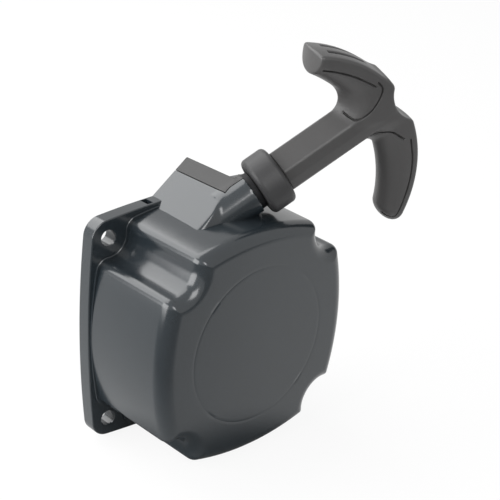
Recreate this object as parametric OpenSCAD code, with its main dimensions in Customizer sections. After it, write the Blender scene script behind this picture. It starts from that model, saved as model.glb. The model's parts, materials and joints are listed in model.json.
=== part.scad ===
// Recoil starter: a bowed square cover that bolts to the side of a small engine.
// Inside are a rope reel on a post, a flat rewind spring in its case, and two pawls
// worked by a guide plate. The rope leaves through an angled outlet to a T handle.
// X runs to the right seen from the front, Z up, and Y into the engine.
// The origin is the middle of the bolt pattern, on the back face of the flange.

/* [Mounting flange] */
// Distance between neighbouring bolt holes
bolt_spacing = 80; // [76:1:84]
// Diameter of the bolt holes
bolt_hole_d = 6.5; // [6:0.1:7]
// Thickness of the flange
flange_t = 6.4; // [5:0.2:8]
// Radius of the flange corners round the bolt holes
flange_corner_r = 7.5; // [7:0.25:9]
// Outward bow of each side of the flange
flange_bow = 2; // [1.6:0.1:2.4]
// Rounding of the flange edges
flange_edge = 0.5; // [0.3:0.05:0.6]

/* [Cover body] */
// How far the middle of a side stands in from the edge of the flange
body_set = 0.9; // [0.8:0.05:1.5]
// Draft of the walls from base to front
body_draft = 0.6; // [0.4:0.1:1]
// Radius of the bowed sides
side_r = 106; // [90:2:130]
// Radius of the corner notches round the bolt axes
notch_r = 9; // [8.5:0.25:10]
// Rounding of the corners beside the notches
corner_r = 4; // [3:0.25:5]
// Depth of the cover from back face to front face
body_depth = 50.3; // [48:0.5:56]
// Rounding of the front edge
front_edge_r = 6; // [4:0.5:7]
// Least wall round the cavity
wall = 2.4; // [2:0.1:3]
// Thickness of the front wall
front_wall = 4; // [3.5:0.25:5]
// Width of the raised step round the foot of the body
plinth_w = 1.5; // [1:0.1:2]
// Height of that step
plinth_h = 1; // [0.6:0.1:1.6]
// Radius of the fine ring on the front face
ring_r = 33; // [25:1:35]
// Place of the small locating slot in the top edge of the flange
slot_x = -19.5; // [-26:0.5:-18]
// Width of that slot
slot_w = 2.7; // [2:0.1:3.5]
// Length of that slot from the back face
slot_l = 4.5; // [3:0.1:5]

/* [Rope outlet] */
// Place of the handle seat to the right of the middle
outlet_x = 10.8; // [9:0.2:13]
// Depth of the handle seat in front of the back face
outlet_y = 32.8; // [31:0.2:34]
// Height of the handle seat above the top of the body
outlet_rise = 8.6; // [7:0.2:10]
// Angle of the pull above level
pull_lift = 35; // [31:1:38]
// Angle of the pull towards the front
pull_tilt = 19; // [15:0.5:22]
// Outer radius of the outlet tube
nozzle_r = 8.6; // [8:0.2:9.5]
// Slope of the ramp behind the outlet
ramp_slope = 37; // [34:1:40]
// Place of the foot of the ramp
ramp_x = -15.7; // [-17:0.1:-15]
// Length of the ramp up to the cap seam
ramp_l = 15.9; // [14:0.1:17]
// Width of the cap along the ramp
cap_w = 7; // [6:0.2:8]
// Thickness of the cap
cap_t = 4.4; // [3.5:0.1:5]
// Open line between cap and housing
seam = 0.4; // [0.3:0.05:0.6]

/* [Rope and reel] */
// Diameter of the rope
rope_d = 3.5; // [3:0.1:4]
// Free gap between two turns of rope
rope_gap = 0.55; // [0.45:0.05:0.8]
// Turns of rope on the reel
rope_turns = 4.25; // [3:0.25:4.5]
// Depth of the rope plane in front of the back face
rope_plane = 27.2; // [26.5:0.1:28]
// Free gap between reel rim and cavity
reel_gap = 2; // [1.5:0.1:3]
// Thickness of the reel's back flange
reel_back_t = 3.6; // [3:0.2:4]
// Thickness of the reel's front flange
reel_front_t = 2.2; // [1.8:0.2:2.6]
// Radius of the post that the reel turns on
post_r = 6; // [5.5:0.1:6.5]
// Wall of the bush in the reel
bush_wall = 1.5; // [1.2:0.1:2]
// Running fit of turning pieces, on the radius
running_fit = 0.05; // [0.03:0.01:0.08]

/* [Rewind spring] */
// Turns of the flat spring
spring_turns = 8; // [6:1:10]
// Thickness of the spring strip
spring_t = 0.7; // [0.5:0.1:0.9]
// Wall of the spring case
case_wall = 1.2; // [1:0.1:1.5]
// Outer radius of the spring case
case_r = 39.5; // [37:0.5:41]

/* [Pawls] */
// Thickness of a pawl
pawl_t = 5.6; // [5:0.2:6]
// Radius of a pawl pin
pin_r = 2.5; // [2:0.1:2.8]
// Swing of a pawl from folded to out
pawl_swing = 25; // [20:1:28]
// Turn of the guide plate that swings the pawls out
guide_swing = 20; // [16:1:24]
// Thickness of the guide plate
guide_t = 1.8; // [1.5:0.1:2.2]
// Wire radius of the friction spring
wire_r = 0.5; // [0.4:0.05:0.55]

/* [Handle] */
// Radius of the collar
collar_r = 12; // [11.5:0.25:13]
// Length of the collar
collar_l = 10.8; // [10:0.2:12]
// Width of the stem across the arms
stem_w = 19.2; // [18.5:0.1:20]
// Thickness of the stem
stem_t = 16.8; // [16:0.1:17]
// Distance from the seat to the back of the head
head_z = 66.1; // [62:0.1:70]
// Shift of the head towards the lower arm
head_shift = 4.5; // [3:0.1:6]
// Radius of the arms' back
back_r = 53.2; // [48:0.2:58]
// Turn from the middle of the head to a tip
arm_turn = 54.5; // [48:0.5:58]
// Depth of the arms in the pull direction
arm_w = 16.4; // [15:0.2:17.4]
// Depth of the arms at the tips
tip_w = 8; // [7:0.2:10]
// Thickness of the head
arm_t = 17.2; // [17:0.2:19]
// Thickness of the arms at the tips
tip_t = 17; // [15:0.2:18]
// Turn of the arms round the pull axis
handle_roll = 6; // [0:1:12]

/* [Hidden] */
$fn = 72;

// Common clearances, and how far a cutting shape runs past the face that it opens
touch = 0.02;
clear = 0.3;
eps = 0.01;
past = 1;
far = 100;

// Cover sizes worked out from the bolt pattern
bolt = bolt_spacing / 2;
flange_half = bolt + flange_corner_r + flange_bow;
body_half = flange_half - body_set;
cavity_r = bolt * sqrt(2) - notch_r - body_draft - wall;
cavity_z = body_depth - front_wall;
plinth_side = 0.15;
plinth_round = 60;
least_corner = 0.6;
ring_w = 0.5;
ring_deep = 0.3;
slot_deep = 3.2;

// Steps along the outline of one quarter
side_steps = 4;
round_steps = 3;
notch_steps = 6;
edge_steps = 5;

// Outlet: seat of the handle, direction of the pull, and the tube along it
outlet = [outlet_x, -outlet_y, body_half + outlet_rise];
pull = [cos(pull_tilt) * cos(pull_lift), -sin(pull_tilt), cos(pull_tilt) * sin(pull_lift)];
nozzle_end = -2.4;
nozzle_start = -32;
tube_trim = 2;
eyelet_l = 11;
eyelet_r = 5.2;
eyelet_set = 0.2;
eyelet_flange_r = nozzle_r - 0.9;
rope_bore_r = rope_d / 2 + 0.65;
throat_r = eyelet_r - 1;
throat_l = 1.6;
mouth_s = nozzle_end - eyelet_l - throat_l;
mouth = outlet + mouth_s * pull;

// Block behind the tube, and the fan that lets the rope in from the reel
ramp_foot = [ramp_x, body_half - 0.3];
ramp_sunk = 5;
block_deep = 17;
block_front = outlet_y - 3.3;
cap_front = block_front + 0.5;
cap_tube_l = 9;
fan_half = 5;
fan_l = 30;
fan_lip = 3.2;
fan_nose = 0.6;
fan_low = 66;
fan_high = 33;

// Reel levels, counted forward from the back face
groove_half = rope_d / 2 + 0.6;
reel_back = rope_plane - groove_half - reel_back_t;
reel_front = rope_plane + groove_half + reel_front_t;
reel_r = cavity_r - reel_gap;
rim_taper = 2;
rim_lip = 1.2;
rim_room = 2.2;
rope_pitch = rope_d + rope_gap;
rope_steps = 24;
rope_out_r = reel_r - rim_room - rope_d / 2;
rope_in_r = rope_out_r - rope_turns * rope_pitch;
drum_r = rope_in_r - rope_d / 2 - 0.2;
bush_r = post_r + running_fit + bush_wall;
bush_set = 0.2;
hub_r = bush_r + 2.4;
arbor_r = hub_r + 1.4;
window_r = 4.6;
window_ring = (drum_r + reel_r) / 2;
window_count = 6;
anchor_ring = drum_r - 4.2;
anchor_r = rope_d / 2 + 0.3;
anchor_deep = 3;

// Rope tangent from the reel to the mouth of the outlet
mouth_far = norm([mouth[0], mouth[2]]);
leave_at = atan2(mouth[2], mouth[0]) + acos(rope_out_r / mouth_far);
leave = [rope_out_r * cos(leave_at), -rope_plane, rope_out_r * sin(leave_at)];
lead_start = 3;
ease_near = 2;
ease_far = 6;

// Rewind spring and case levels
case_back = reel_front + 1.4;
boss_r = post_r + 3;
boss_back = cavity_z - 3;
socket_deep = 1.6;
arbor_front = boss_back - clear;
spring_back = case_back + 1;
spring_front = cavity_z - case_wall - clear;
spring_in_r = arbor_r + clear + spring_t / 2;
spring_out_r = case_r - case_wall - clear - spring_t / 2;
spring_step = 15;

// Pawl levels, behind the reel
pawl_front = reel_back - clear;
pawl_back = pawl_front - pawl_t;
guide_front = pawl_back - 0.6;
guide_back = guide_front - guide_t;
hub_back = guide_front + clear;
tip_r = post_r - 2;
shoulder = hub_back + 0.4;
washer_t = 1.2;
washer_front = guide_back - 2.6;
washer_r = tip_r + 5.4;
screw_r = 2.5;
screw_deep = 12;
screw_room = 0.5;
head_r = 4.8;
head_h = 3.6;
key_r = 2.6;
key_deep = 2.2;
eye_r = pin_r + 2;
pin_ring = hub_r + 1 + eye_r;
pin_floor = 0.6;
pin_set = 0.2;
claw_in_r = pin_ring + 1.8;
claw_out_r = claw_in_r + 5.2;
claw_from = -48;
claw_to = -9;
claw_set = 0.2;
peg_r = 1.5;
peg_play = 0.4;
peg_ring = pin_ring + 4.6;
peg_at = -25;
plate_r = pin_ring - 0.5;
ear_in_r = tip_r + 2;
ear_r = peg_ring + 6.6;
ear_from = -52;
ear_to = -8;
ear_steps = 8;

// Wire of the friction spring
wire_turns = 2;
wire_steps = 16;
wire_in_r = tip_r + 0.6 + wire_r;
wire_out_r = washer_r - wire_r;

// Handle fits
plug_r = 8.2;
plug_set = 0.2;
stem_gap = 0.1;
collar_floor = 3;
collar_round = 2;
inner_z = head_z - arm_w;
pocket_r = 4.7;
pocket_floor = head_z - 14.6;
washer_fit = 0.15;
knot_washer_t = 1;
knot_r = 4.2;
knot_z = pocket_floor + knot_washer_t + 0.1 + knot_r;
scoop_x = 0.5;
scoop_r = 13;
scoop_deep = 4.9;
notch_gap = 3.2;
notch_w = 1.6;
notch_deep = 4;
notch_tip = 6;
notch_l = 17;

// Places along an arm for its sections, how fast it narrows, its flat side and its edge
arm_shares = [1, 0.85, 0.7, 0.55, 0.4, 0.25, 0.12];
arm_taper = 2.2;
side_flat = 0.3;
grip_edge = 1.2;

// Corners of the stem as shares of its half width and half thickness
stem_corner = [0.75, 0.72];

// Flare of the stem: place from the underside of the arms, growth in width and growth in thickness
stem_flare = [[-13, 0, 0], [-6, 2.4, 0], [-2, 7.2, -0.4], [3, 14, -1.6]];

// Points on an arc
function arc(c, r, from, to, n, last) =
  [for (i = [0 : last ? n : n - 1]) let (a = from + (to - from) * i / n) c + r * [cos(a), sin(a)]];

// The lower of the two points at given distances from two centres
function meet(p, rp, q, rq) =
  let (d = norm(q - p), along = (rp * rp - rq * rq + d * d) / (2 * d),
    off = sqrt(rp * rp - along * along), u = (q - p) / d)
  p + along * u + off * [u[1], -u[0]];

// Mirror of a list of points about the diagonal, in turning order
function flip(list) = [for (i = [len(list) - 1 : -1 : 0]) [list[i][1], list[i][0]]];
function spin4(list) =
  [for (k = [0 : 3]) for (p = list)
    [p[0] * cos(90 * k) - p[1] * sin(90 * k), p[0] * sin(90 * k) + p[1] * cos(90 * k)]];

// Bowed square with a notch round each bolt: half width, side radius, notch radius and corner radius
function notched(half_w, sr, nr, rc) =
  let (b = [bolt, bolt], c = [half_w - sr, 0],
    q = meet(c, sr - rc, b, nr + rc),
    turn = atan2(q[1] - c[1], q[0] - c[0]), up = atan2(b[1] - q[1], b[0] - q[0]),
    side = arc(c, sr, 0, turn, side_steps, false),
    bend = arc(q, rc, turn, up, round_steps, false),
    notch = arc(b, nr, up + 180, 270 - up, notch_steps, true),
    half = concat(side, bend),
    back = flip(half))
  spin4(concat(half, notch, [for (i = [0 : len(back) - 2]) back[i]]));

// Outline of the body, drawn in by d, and of the step round its foot
function body_outline(d) = notched(body_half - d, side_r - d, notch_r + d, max(corner_r - d, least_corner));
function plinth_outline(d) =
  notched(body_half + plinth_side - d, side_r + plinth_round, notch_r - plinth_w + d, corner_r + plinth_w);

// Outline of the flange, drawn in by d, with as many points as the body's
function flange_outline(d) =
  let (b = [bolt, bolt], rc = flange_corner_r - d, bow = flange_corner_r + flange_bow,
    big = (bolt * bolt + bow * bow - flange_corner_r * flange_corner_r) / (2 * flange_bow),
    c = [bolt + bow - big, 0], turn = atan2(bolt, bolt - c[0]),
    side = arc(c, big - d, 0, turn, side_steps, false),
    corner = arc(b, rc, turn, 90 - turn, 2 * round_steps + notch_steps, true),
    back = flip(side))
  spin4(concat(side, corner, [for (i = [0 : len(back) - 2]) back[i]]));

function lift(list, z) = [for (p = list) [p[0], p[1], z]];
function middle(ring) =
  [for (k = [0 : 2]) let (s = [for (p = ring) p[k]]) s * [for (p = ring) 1] / len(ring)];

// Solid through a row of rings that all have the same number of points
module loft(rings) {
  n = len(rings);
  m = len(rings[0]);
  points = concat([for (r = rings) for (p = r) p], [middle(rings[0]), middle(rings[n - 1])]);
  sides = [for (i = [0 : n - 2]) for (j = [0 : m - 1])
    let (a = i * m + j, b = i * m + (j + 1) % m)
    each [[a, a + m, b + m], [a, b + m, b]]];
  first = [for (j = [0 : m - 1]) [n * m, j, (j + 1) % m]];
  last = [for (j = [0 : m - 1]) [n * m + 1, (n - 1) * m + (j + 1) % m, (n - 1) * m + j]];
  polyhedron(points, concat(sides, first, last));
}

// Ring of a tube round point c, square to direction d
function tube_ring(c, d, ref, r, sides) =
  let (u = d / norm(d), w = cross(u, ref), a = w / norm(w), b = cross(u, a))
  [for (k = [0 : sides - 1]) c + r * (cos(360 * k / sides) * a + sin(360 * k / sides) * b)];

// Shapes drawn as seen from the front: x right, y up, z towards the viewer
module from_front() rotate([90, 0, 0]) children();

// Shapes along the pull: z points out of the outlet, x down and y back
module along_pull(s = 0) translate(outlet + s * pull) rotate([pull_tilt, 90 - pull_lift, 0]) children();
module in_handle() along_pull() rotate([0, 0, -handle_roll]) children();

// Shapes on the ramp: x up the slope, y square to it, z towards the viewer
module on_ramp() {
  from_front() translate([ramp_foot[0], ramp_foot[1], 0]) rotate([0, 0, ramp_slope]) children();
}

module bolt_places() {
  for (sx = [-1, 1], sy = [-1, 1])
    translate([sx * bolt, sy * bolt, 0]) children();
}

module outer_shell() {
  foot = flange_t + plinth_h;
  loft(concat(
    [lift(flange_outline(flange_edge), 0), lift(flange_outline(0), flange_edge)],
    [lift(flange_outline(0), flange_t - flange_edge), lift(flange_outline(flange_edge), flange_t)],
    [lift(plinth_outline(0), flange_t), lift(plinth_outline(plinth_side / 2), foot)],
    [lift(body_outline(0), foot)],
    [for (i = [0 : edge_steps]) let (t = 90 * i / edge_steps)
      lift(body_outline(body_draft + front_edge_r * (1 - cos(t))),
        body_depth - front_edge_r + front_edge_r * sin(t))]));
}

// Block and tube of the rope outlet, before the cap is parted from it
module outlet_solid() {
  on_ramp() translate([-ramp_sunk, -block_deep, 0])
    cube([ramp_sunk + ramp_l + cap_w, block_deep, block_front]);
  difference() {
    along_pull(nozzle_start) cylinder(r = nozzle_r, h = nozzle_end - nozzle_start);
    on_ramp() translate([-far / 2, 0, 0]) cube([far / 2 + ramp_l - tube_trim, far / 4, far]);
  }
}

// Room that the cap takes, drawn out by g
module cap_room(g) {
  on_ramp() translate([ramp_l - g, -cap_t - g, -far])
    cube([far, far / 2, far + cap_front + g]);
  along_pull(nozzle_end - cap_tube_l - g) translate([-far / 2, -g, 0])
    cube([far / 2 - nozzle_r + cap_t + g, far / 2, far / 2]);
}

// Way of the rope from the cavity to the eyelet
module rope_way() {
  along_pull(nozzle_end - eyelet_l) cylinder(r = eyelet_r + touch, h = eyelet_l + past);
  along_pull(mouth_s - past) cylinder(r = throat_r, h = throat_l + 2 * past);
  from_front() translate([mouth[0], mouth[2], -mouth[1] - fan_half])
    linear_extrude(2 * fan_half)
      polygon([[fan_nose, fan_lip], -fan_l * [cos(fan_high), sin(fan_high)],
        -fan_l * [cos(fan_low), sin(fan_low)], [fan_lip, -fan_lip]]);
}

module housing() {
  color("#26292b") difference() {
    union() {
      from_front() outer_shell();
      difference() {
        outlet_solid();
        cap_room(seam);
      }
      from_front() translate([0, 0, boss_back]) cylinder(r = boss_r, h = cavity_z - boss_back + past);
    }
    from_front() difference() {
      translate([0, 0, -past]) cylinder(r = cavity_r, h = cavity_z + past);
      translate([0, 0, boss_back]) cylinder(r = boss_r, h = far);
    }
    from_front() translate([0, 0, -past]) cylinder(r = post_r + touch, h = cavity_z + socket_deep + past);
    from_front() bolt_places() translate([0, 0, -past])
      cylinder(r = bolt_hole_d / 2, h = flange_t + 2 * past);
    from_front() translate([0, 0, body_depth - ring_deep]) difference() {
      cylinder(r = ring_r + ring_w / 2, h = past);
      translate([0, 0, -past]) cylinder(r = ring_r - ring_w / 2, h = 3 * past);
    }
    from_front() translate([slot_x - slot_w / 2, flange_half - slot_deep, -past])
      cube([slot_w, slot_deep + past, slot_l + past]);
    rope_way();
  }
}

module outlet_cap() {
  color("#3a3c3e") difference() {
    intersection() {
      outlet_solid();
      cap_room(0);
    }
    rope_way();
  }
}

module rope_eyelet() {
  color("#101112") along_pull(nozzle_end) difference() {
    union() {
      translate([0, 0, eyelet_set - eyelet_l]) cylinder(r = eyelet_r, h = eyelet_l);
      cylinder(r = eyelet_flange_r, h = -nozzle_end - clear);
    }
    translate([0, 0, -far / 2]) cylinder(r = rope_bore_r, h = far);
  }
}

module reel_post() {
  color("lightgray") from_front() difference() {
    union() {
      translate([0, 0, shoulder]) cylinder(r = post_r, h = cavity_z + socket_deep - touch - shoulder);
      translate([0, 0, washer_front]) cylinder(r = tip_r, h = shoulder - washer_front + eps);
    }
    translate([0, 0, washer_front - past])
      cylinder(r = screw_r + touch, h = screw_deep + screw_room + past);
  }
}

module spring_case() {
  color("gray") from_front() difference() {
    translate([0, 0, case_back]) cylinder(r = case_r, h = cavity_z - case_back);
    translate([0, 0, case_back - past])
      cylinder(r = case_r - case_wall, h = cavity_z - case_wall - case_back + past);
    cylinder(r = boss_r + clear, h = far);
  }
}

// Flat spiral strip from the arbor of the reel out to the wall of its case
module rewind_spring() {
  steps = 360 * spring_turns / spring_step;
  mid = [for (i = [0 : steps]) spring_in_r + (spring_out_r - spring_in_r) * i / steps];
  way = [for (i = [0 : steps]) [cos(spring_step * i), sin(spring_step * i)]];
  inner = [for (i = [0 : steps]) (mid[i] - spring_t / 2) * way[i]];
  outer = [for (i = [steps : -1 : 0]) (mid[i] + spring_t / 2) * way[i]];
  echo(rewind_spring_gap = (spring_out_r - spring_in_r) / spring_turns - spring_t);
  color("#8a8d90") from_front() translate([0, 0, spring_back])
    linear_extrude(spring_front - spring_back) polygon(concat(inner, outer));
}

module centre_screw() {
  color("silver") from_front() translate([0, 0, washer_front - washer_t]) difference() {
    union() {
      translate([0, 0, -head_h]) cylinder(r = head_r, h = head_h);
      translate([0, 0, -eps]) cylinder(r = screw_r, h = washer_t + screw_deep);
    }
    translate([0, 0, -head_h - past]) cylinder(r = key_r, h = key_deep + past, $fn = 6);
  }
}

module screw_washer() {
  color("lightgray") from_front() translate([0, 0, washer_front - washer_t]) difference() {
    cylinder(r = washer_r, h = washer_t);
    translate([0, 0, -past]) cylinder(r = screw_r + touch, h = washer_t + 2 * past);
  }
}

// Conical wire spring that drags on the guide plate
function friction_path() =
  let (z0 = washer_front + clear + wire_r, z1 = guide_back - clear - wire_r, n = wire_turns * wire_steps)
  [for (i = [0 : n]) let (t = i / n, a = 360 * wire_turns * t, r = wire_in_r + (wire_out_r - wire_in_r) * t)
    [r * cos(a), r * sin(a), z0 + (z1 - z0) * t]];

module friction_spring() {
  path = friction_path();
  n = len(path);
  gaps = [for (i = [0 : n - 1]) for (j = [i + wire_steps / 2 : 1 : n - 1])
    norm(path[i] - path[j]) - 2 * wire_r];
  echo(friction_spring_gap = min(gaps));
  color("silver") from_front() loft([for (i = [0 : n - 1])
    tube_ring(path[i], path[min(i + 1, n - 1)] - path[max(i - 1, 0)], [0, 0, 1], wire_r, 6)]);
}

// Section of the reel, from the bush out to the rim and back along the spring arbor
function reel_section() =
  let (back_in = reel_back + reel_back_t, front_in = reel_front - reel_front_t)
  [[bush_r + touch, hub_back], [hub_r, hub_back], [hub_r, reel_back], [reel_r, reel_back],
    [reel_r, back_in - rim_lip], [reel_r - rim_taper, back_in], [drum_r, back_in], [drum_r, front_in],
    [reel_r - rim_taper, front_in], [reel_r, front_in + rim_lip], [reel_r, reel_front],
    [arbor_r, reel_front], [arbor_r, arbor_front], [bush_r + touch, arbor_front]];

module at_anchor() {
  rotate([0, 0, leave_at + 360 * rope_turns]) translate([anchor_ring, 0, reel_back]) children();
}

module reel() {
  color("#4a4d4f") from_front() difference() {
    rotate_extrude() polygon(reel_section());
    for (k = [0 : window_count - 1]) rotate([0, 0, 360 * (k + 0.5) / window_count])
      translate([window_ring, 0, reel_back - past]) cylinder(r = window_r, h = reel_back_t + 2 * past);
    for (k = [0, 1]) rotate([0, 0, 180 * k]) translate([pin_ring, 0, reel_back - past])
      cylinder(r = pin_r + touch, h = reel_back_t - pin_floor + past);
    at_anchor() translate([0, 0, -past]) cylinder(r = anchor_r + touch, h = reel_back_t + anchor_deep + past);
  }
}

module reel_bush() {
  color("#b08d57") from_front() translate([0, 0, hub_back + bush_set]) difference() {
    cylinder(r = bush_r, h = arbor_front - hub_back - 2 * bush_set);
    translate([0, 0, -past]) cylinder(r = post_r + running_fit, h = far);
  }
}

// Rope wound clockwise and outwards in one plane, ending straight where it leaves the reel
function winding_path() =
  let (n = round(rope_steps * rope_turns), out = [cos(leave_at), sin(leave_at), 0])
  concat(
    [for (i = [0 : n]) let (t = i / n, a = leave_at + 360 * rope_turns * (1 - t),
      r = rope_in_r + (rope_out_r - rope_in_r) * t) [r * cos(a), r * sin(a), rope_plane]],
    [rope_out_r * out + rope_d * [out[1], -out[0], 0] + [0, 0, rope_plane]]);

module rope_winding() {
  path = winding_path();
  n = len(path);
  gaps = [for (i = [0 : n - 1]) for (j = [i + rope_steps / 2 : 1 : n - 1]) norm(path[i] - path[j]) - rope_d];
  echo(rope_winding_gap = min(gaps));
  color("#c9c4b6") from_front() loft([for (i = [0 : n - 1])
    tube_ring(path[i], path[min(i + 1, n - 1)] - path[max(i - 1, 0)], [0, 0, 1], rope_d / 2, 6)]);
}

module rope_anchor() {
  color("#c9c4b6") from_front() at_anchor() translate([0, 0, clear])
    cylinder(r = anchor_r, h = reel_back_t + anchor_deep - 2 * clear);
}

module pawl_pins() {
  color("silver") from_front() for (k = [0, 1]) rotate([0, 0, 180 * k])
    translate([pin_ring, 0, pawl_back + pin_set])
      cylinder(r = pin_r, h = reel_back + reel_back_t - pin_floor - touch - pawl_back - pin_set);
}

// One pawl folded in, on the pin at the right
module pawl_shape() {
  difference() {
    union() {
      translate([pin_ring, 0, pawl_back]) cylinder(r = eye_r, h = pawl_t);
      rotate([0, 0, claw_from]) rotate_extrude(angle = claw_to - claw_from)
        translate([claw_in_r, pawl_back + claw_set])
          square([claw_out_r - claw_in_r, pawl_t - 2 * claw_set]);
      rotate([0, 0, peg_at]) translate([peg_ring, 0, guide_back + pin_set])
        cylinder(r = peg_r, h = pawl_back + past - guide_back - pin_set);
    }
    translate([pin_ring, 0, pawl_back - past]) cylinder(r = pin_r + running_fit, h = pawl_t + 2 * past);
  }
}

module pawl_a() color("#9a9c9e") from_front() pawl_shape();

module pawl_b() color("#9a9c9e") from_front() rotate([0, 0, 180]) pawl_shape();

// Place of a pawl's peg in the guide plate, for a share t of the swing
function peg_place(t) =
  let (p = peg_ring * [cos(peg_at), sin(peg_at)] - [pin_ring, 0], b = pawl_swing * t, g = -guide_swing * t,
    q = [pin_ring + p[0] * cos(b) - p[1] * sin(b), p[0] * sin(b) + p[1] * cos(b)])
  [q[0] * cos(g) - q[1] * sin(g), q[0] * sin(g) + q[1] * cos(g)];

module pawl_guide() {
  color("#b9bbbd") from_front() translate([0, 0, guide_back]) difference() {
    union() {
      cylinder(r = plate_r, h = guide_t);
      for (k = [0, 1]) rotate([0, 0, 180 * k + ear_from]) rotate_extrude(angle = ear_to - ear_from)
        translate([ear_in_r, 0]) square([ear_r - ear_in_r, guide_t]);
    }
    translate([0, 0, -past]) cylinder(r = tip_r + running_fit, h = guide_t + 2 * past);
    for (k = [0, 1], i = [0 : ear_steps]) rotate([0, 0, 180 * k]) translate(peg_place(i / ear_steps))
      translate([0, 0, -past]) cylinder(r = peg_r + peg_play, h = guide_t + 2 * past);
  }
}

// Straight rope from the reel through the eyelet to the knot in the handle
module rope_lead() {
  tangent = [sin(leave_at), 0, -cos(leave_at)];
  start = leave + (rope_d + clear) * tangent;
  knot = outlet + (knot_z - knot_r - clear) * pull;
  in_dir = (mouth - start) / norm(mouth - start);
  path = [start, start + lead_start * in_dir, mouth - ease_far * in_dir, mouth - ease_near * in_dir,
    mouth + ease_near * pull, mouth + ease_far * pull, outlet, knot];
  n = len(path);
  color("#c9c4b6") loft([for (i = [0 : n - 1])
    tube_ring(path[i], path[min(i + 1, n - 1)] - path[max(i - 1, 0)], [0, 1, 0], rope_d / 2, 8)]);
}

// Section of the arms at angle a: flat back, short flat sides and a round finger side
function grip_section(a, k) =
  let (w = arm_w + (tip_w - arm_w) * pow(k, arm_taper), t = (arm_t + (tip_t - arm_t) * k) / 2,
    e = grip_edge, f = side_flat * w, c = [head_shift, 0, head_z - back_r], u = [sin(a), 0, cos(a)],
    round = [for (b = [180 : -30 : 0]) [-f - (w - f) * sin(b), t * cos(b)]])
  [for (p = concat([[0, t - e], [0, e - t], [-e, -t]], round, [[-e, t]]))
    c + (back_r + p[0]) * u + [0, p[1], 0]];

// Section of the stem, with a ridge down the middle of each side
function stem_section(z, w, t) =
  let (x = w / 2, y = t / 2, cx = x * stem_corner[0], cy = y * stem_corner[1])
  [[x, 0, z], [cx, cy, z], [0, y, z], [-cx, cy, z], [-x, 0, z], [-cx, -cy, z], [0, -y, z], [cx, -cy, z]];

// Rings of the arms from the upper tip to the lower one, and of the stem up into the arms
function arm_rings() =
  let (n = len(arm_shares))
  concat([for (k = arm_shares) grip_section(-arm_turn * k, k)], [grip_section(0, 0)],
    [for (i = [n - 1 : -1 : 0]) grip_section(arm_turn * arm_shares[i], arm_shares[i])]);
function stem_rings() =
  concat([stem_section(collar_l + stem_gap, stem_w, stem_t)],
    [for (f = stem_flare) stem_section(inner_z + f[0], stem_w + f[1], stem_t + f[2])]);

module handle_grip() {
  slot_end = arm_turn - notch_tip / back_r * 180 / PI;
  slot_turn = notch_l / back_r * 180 / PI;
  color("#4b4b4a") in_handle() difference() {
    union() {
      loft(arm_rings());
      loft(stem_rings());
      translate([0, 0, collar_floor + plug_set]) cylinder(r = plug_r, h = collar_l);
    }
    cylinder(r = rope_bore_r, h = head_z);
    translate([0, 0, pocket_floor]) cylinder(r = pocket_r, h = far / 2);
    translate([scoop_x, far / 2, head_z - scoop_deep + scoop_r]) rotate([90, 0, 0])
      cylinder(r = scoop_r, h = far);
    for (s = [-1, 1]) translate([head_shift, 0, head_z - back_r]) rotate([90, 0, 0])
      rotate([0, 0, 90 + slot_end - slot_turn]) rotate_extrude(angle = slot_turn)
        translate([back_r - notch_deep, s * notch_gap - notch_w / 2]) square([2 * notch_deep, notch_w]);
  }
}

module handle_collar() {
  r = collar_r;
  b = collar_round;
  color("#454545") in_handle() difference() {
    rotate_extrude() union() {
      translate([0, b]) square([r, collar_l - 2 * b]);
      square([r - b, collar_l]);
      for (y = [b, collar_l - b]) translate([r - b, y]) circle(b);
    }
    translate([0, 0, -past]) cylinder(r = rope_bore_r + clear, h = far);
    translate([0, 0, collar_floor]) cylinder(r = plug_r + touch, h = far);
  }
}

module knot_washer() {
  color("silver") in_handle() translate([0, 0, pocket_floor]) difference() {
    cylinder(r = pocket_r - washer_fit, h = knot_washer_t);
    translate([0, 0, -past]) cylinder(r = rope_bore_r, h = knot_washer_t + 2 * past);
  }
}

module rope_knot() {
  color("#c9c4b6") in_handle() translate([0, 0, knot_z]) sphere(knot_r);
}

housing();
outlet_cap();
rope_eyelet();
reel_post();
spring_case();
rewind_spring();
centre_screw();
screw_washer();
friction_spring();
reel();
reel_bush();
rope_winding();
rope_anchor();
pawl_pins();
pawl_a();
pawl_b();
pawl_guide();
rope_lead();
handle_grip();
handle_collar();
knot_washer();
rope_knot();
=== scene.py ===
"""Recoil starter in a plain studio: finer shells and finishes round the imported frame.

Lengths are millimetres until a mesh is made, and follow the driving sizes of the solids.
Seen from the front, X runs right, Z up and Y into the engine; depth counts forward from the flange.
"""

import json
import logging
import math
from dataclasses import dataclass
from enum import Enum
from typing import Callable

import bmesh
import bpy
import numpy as np
from mathutils import Matrix, Vector


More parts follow.
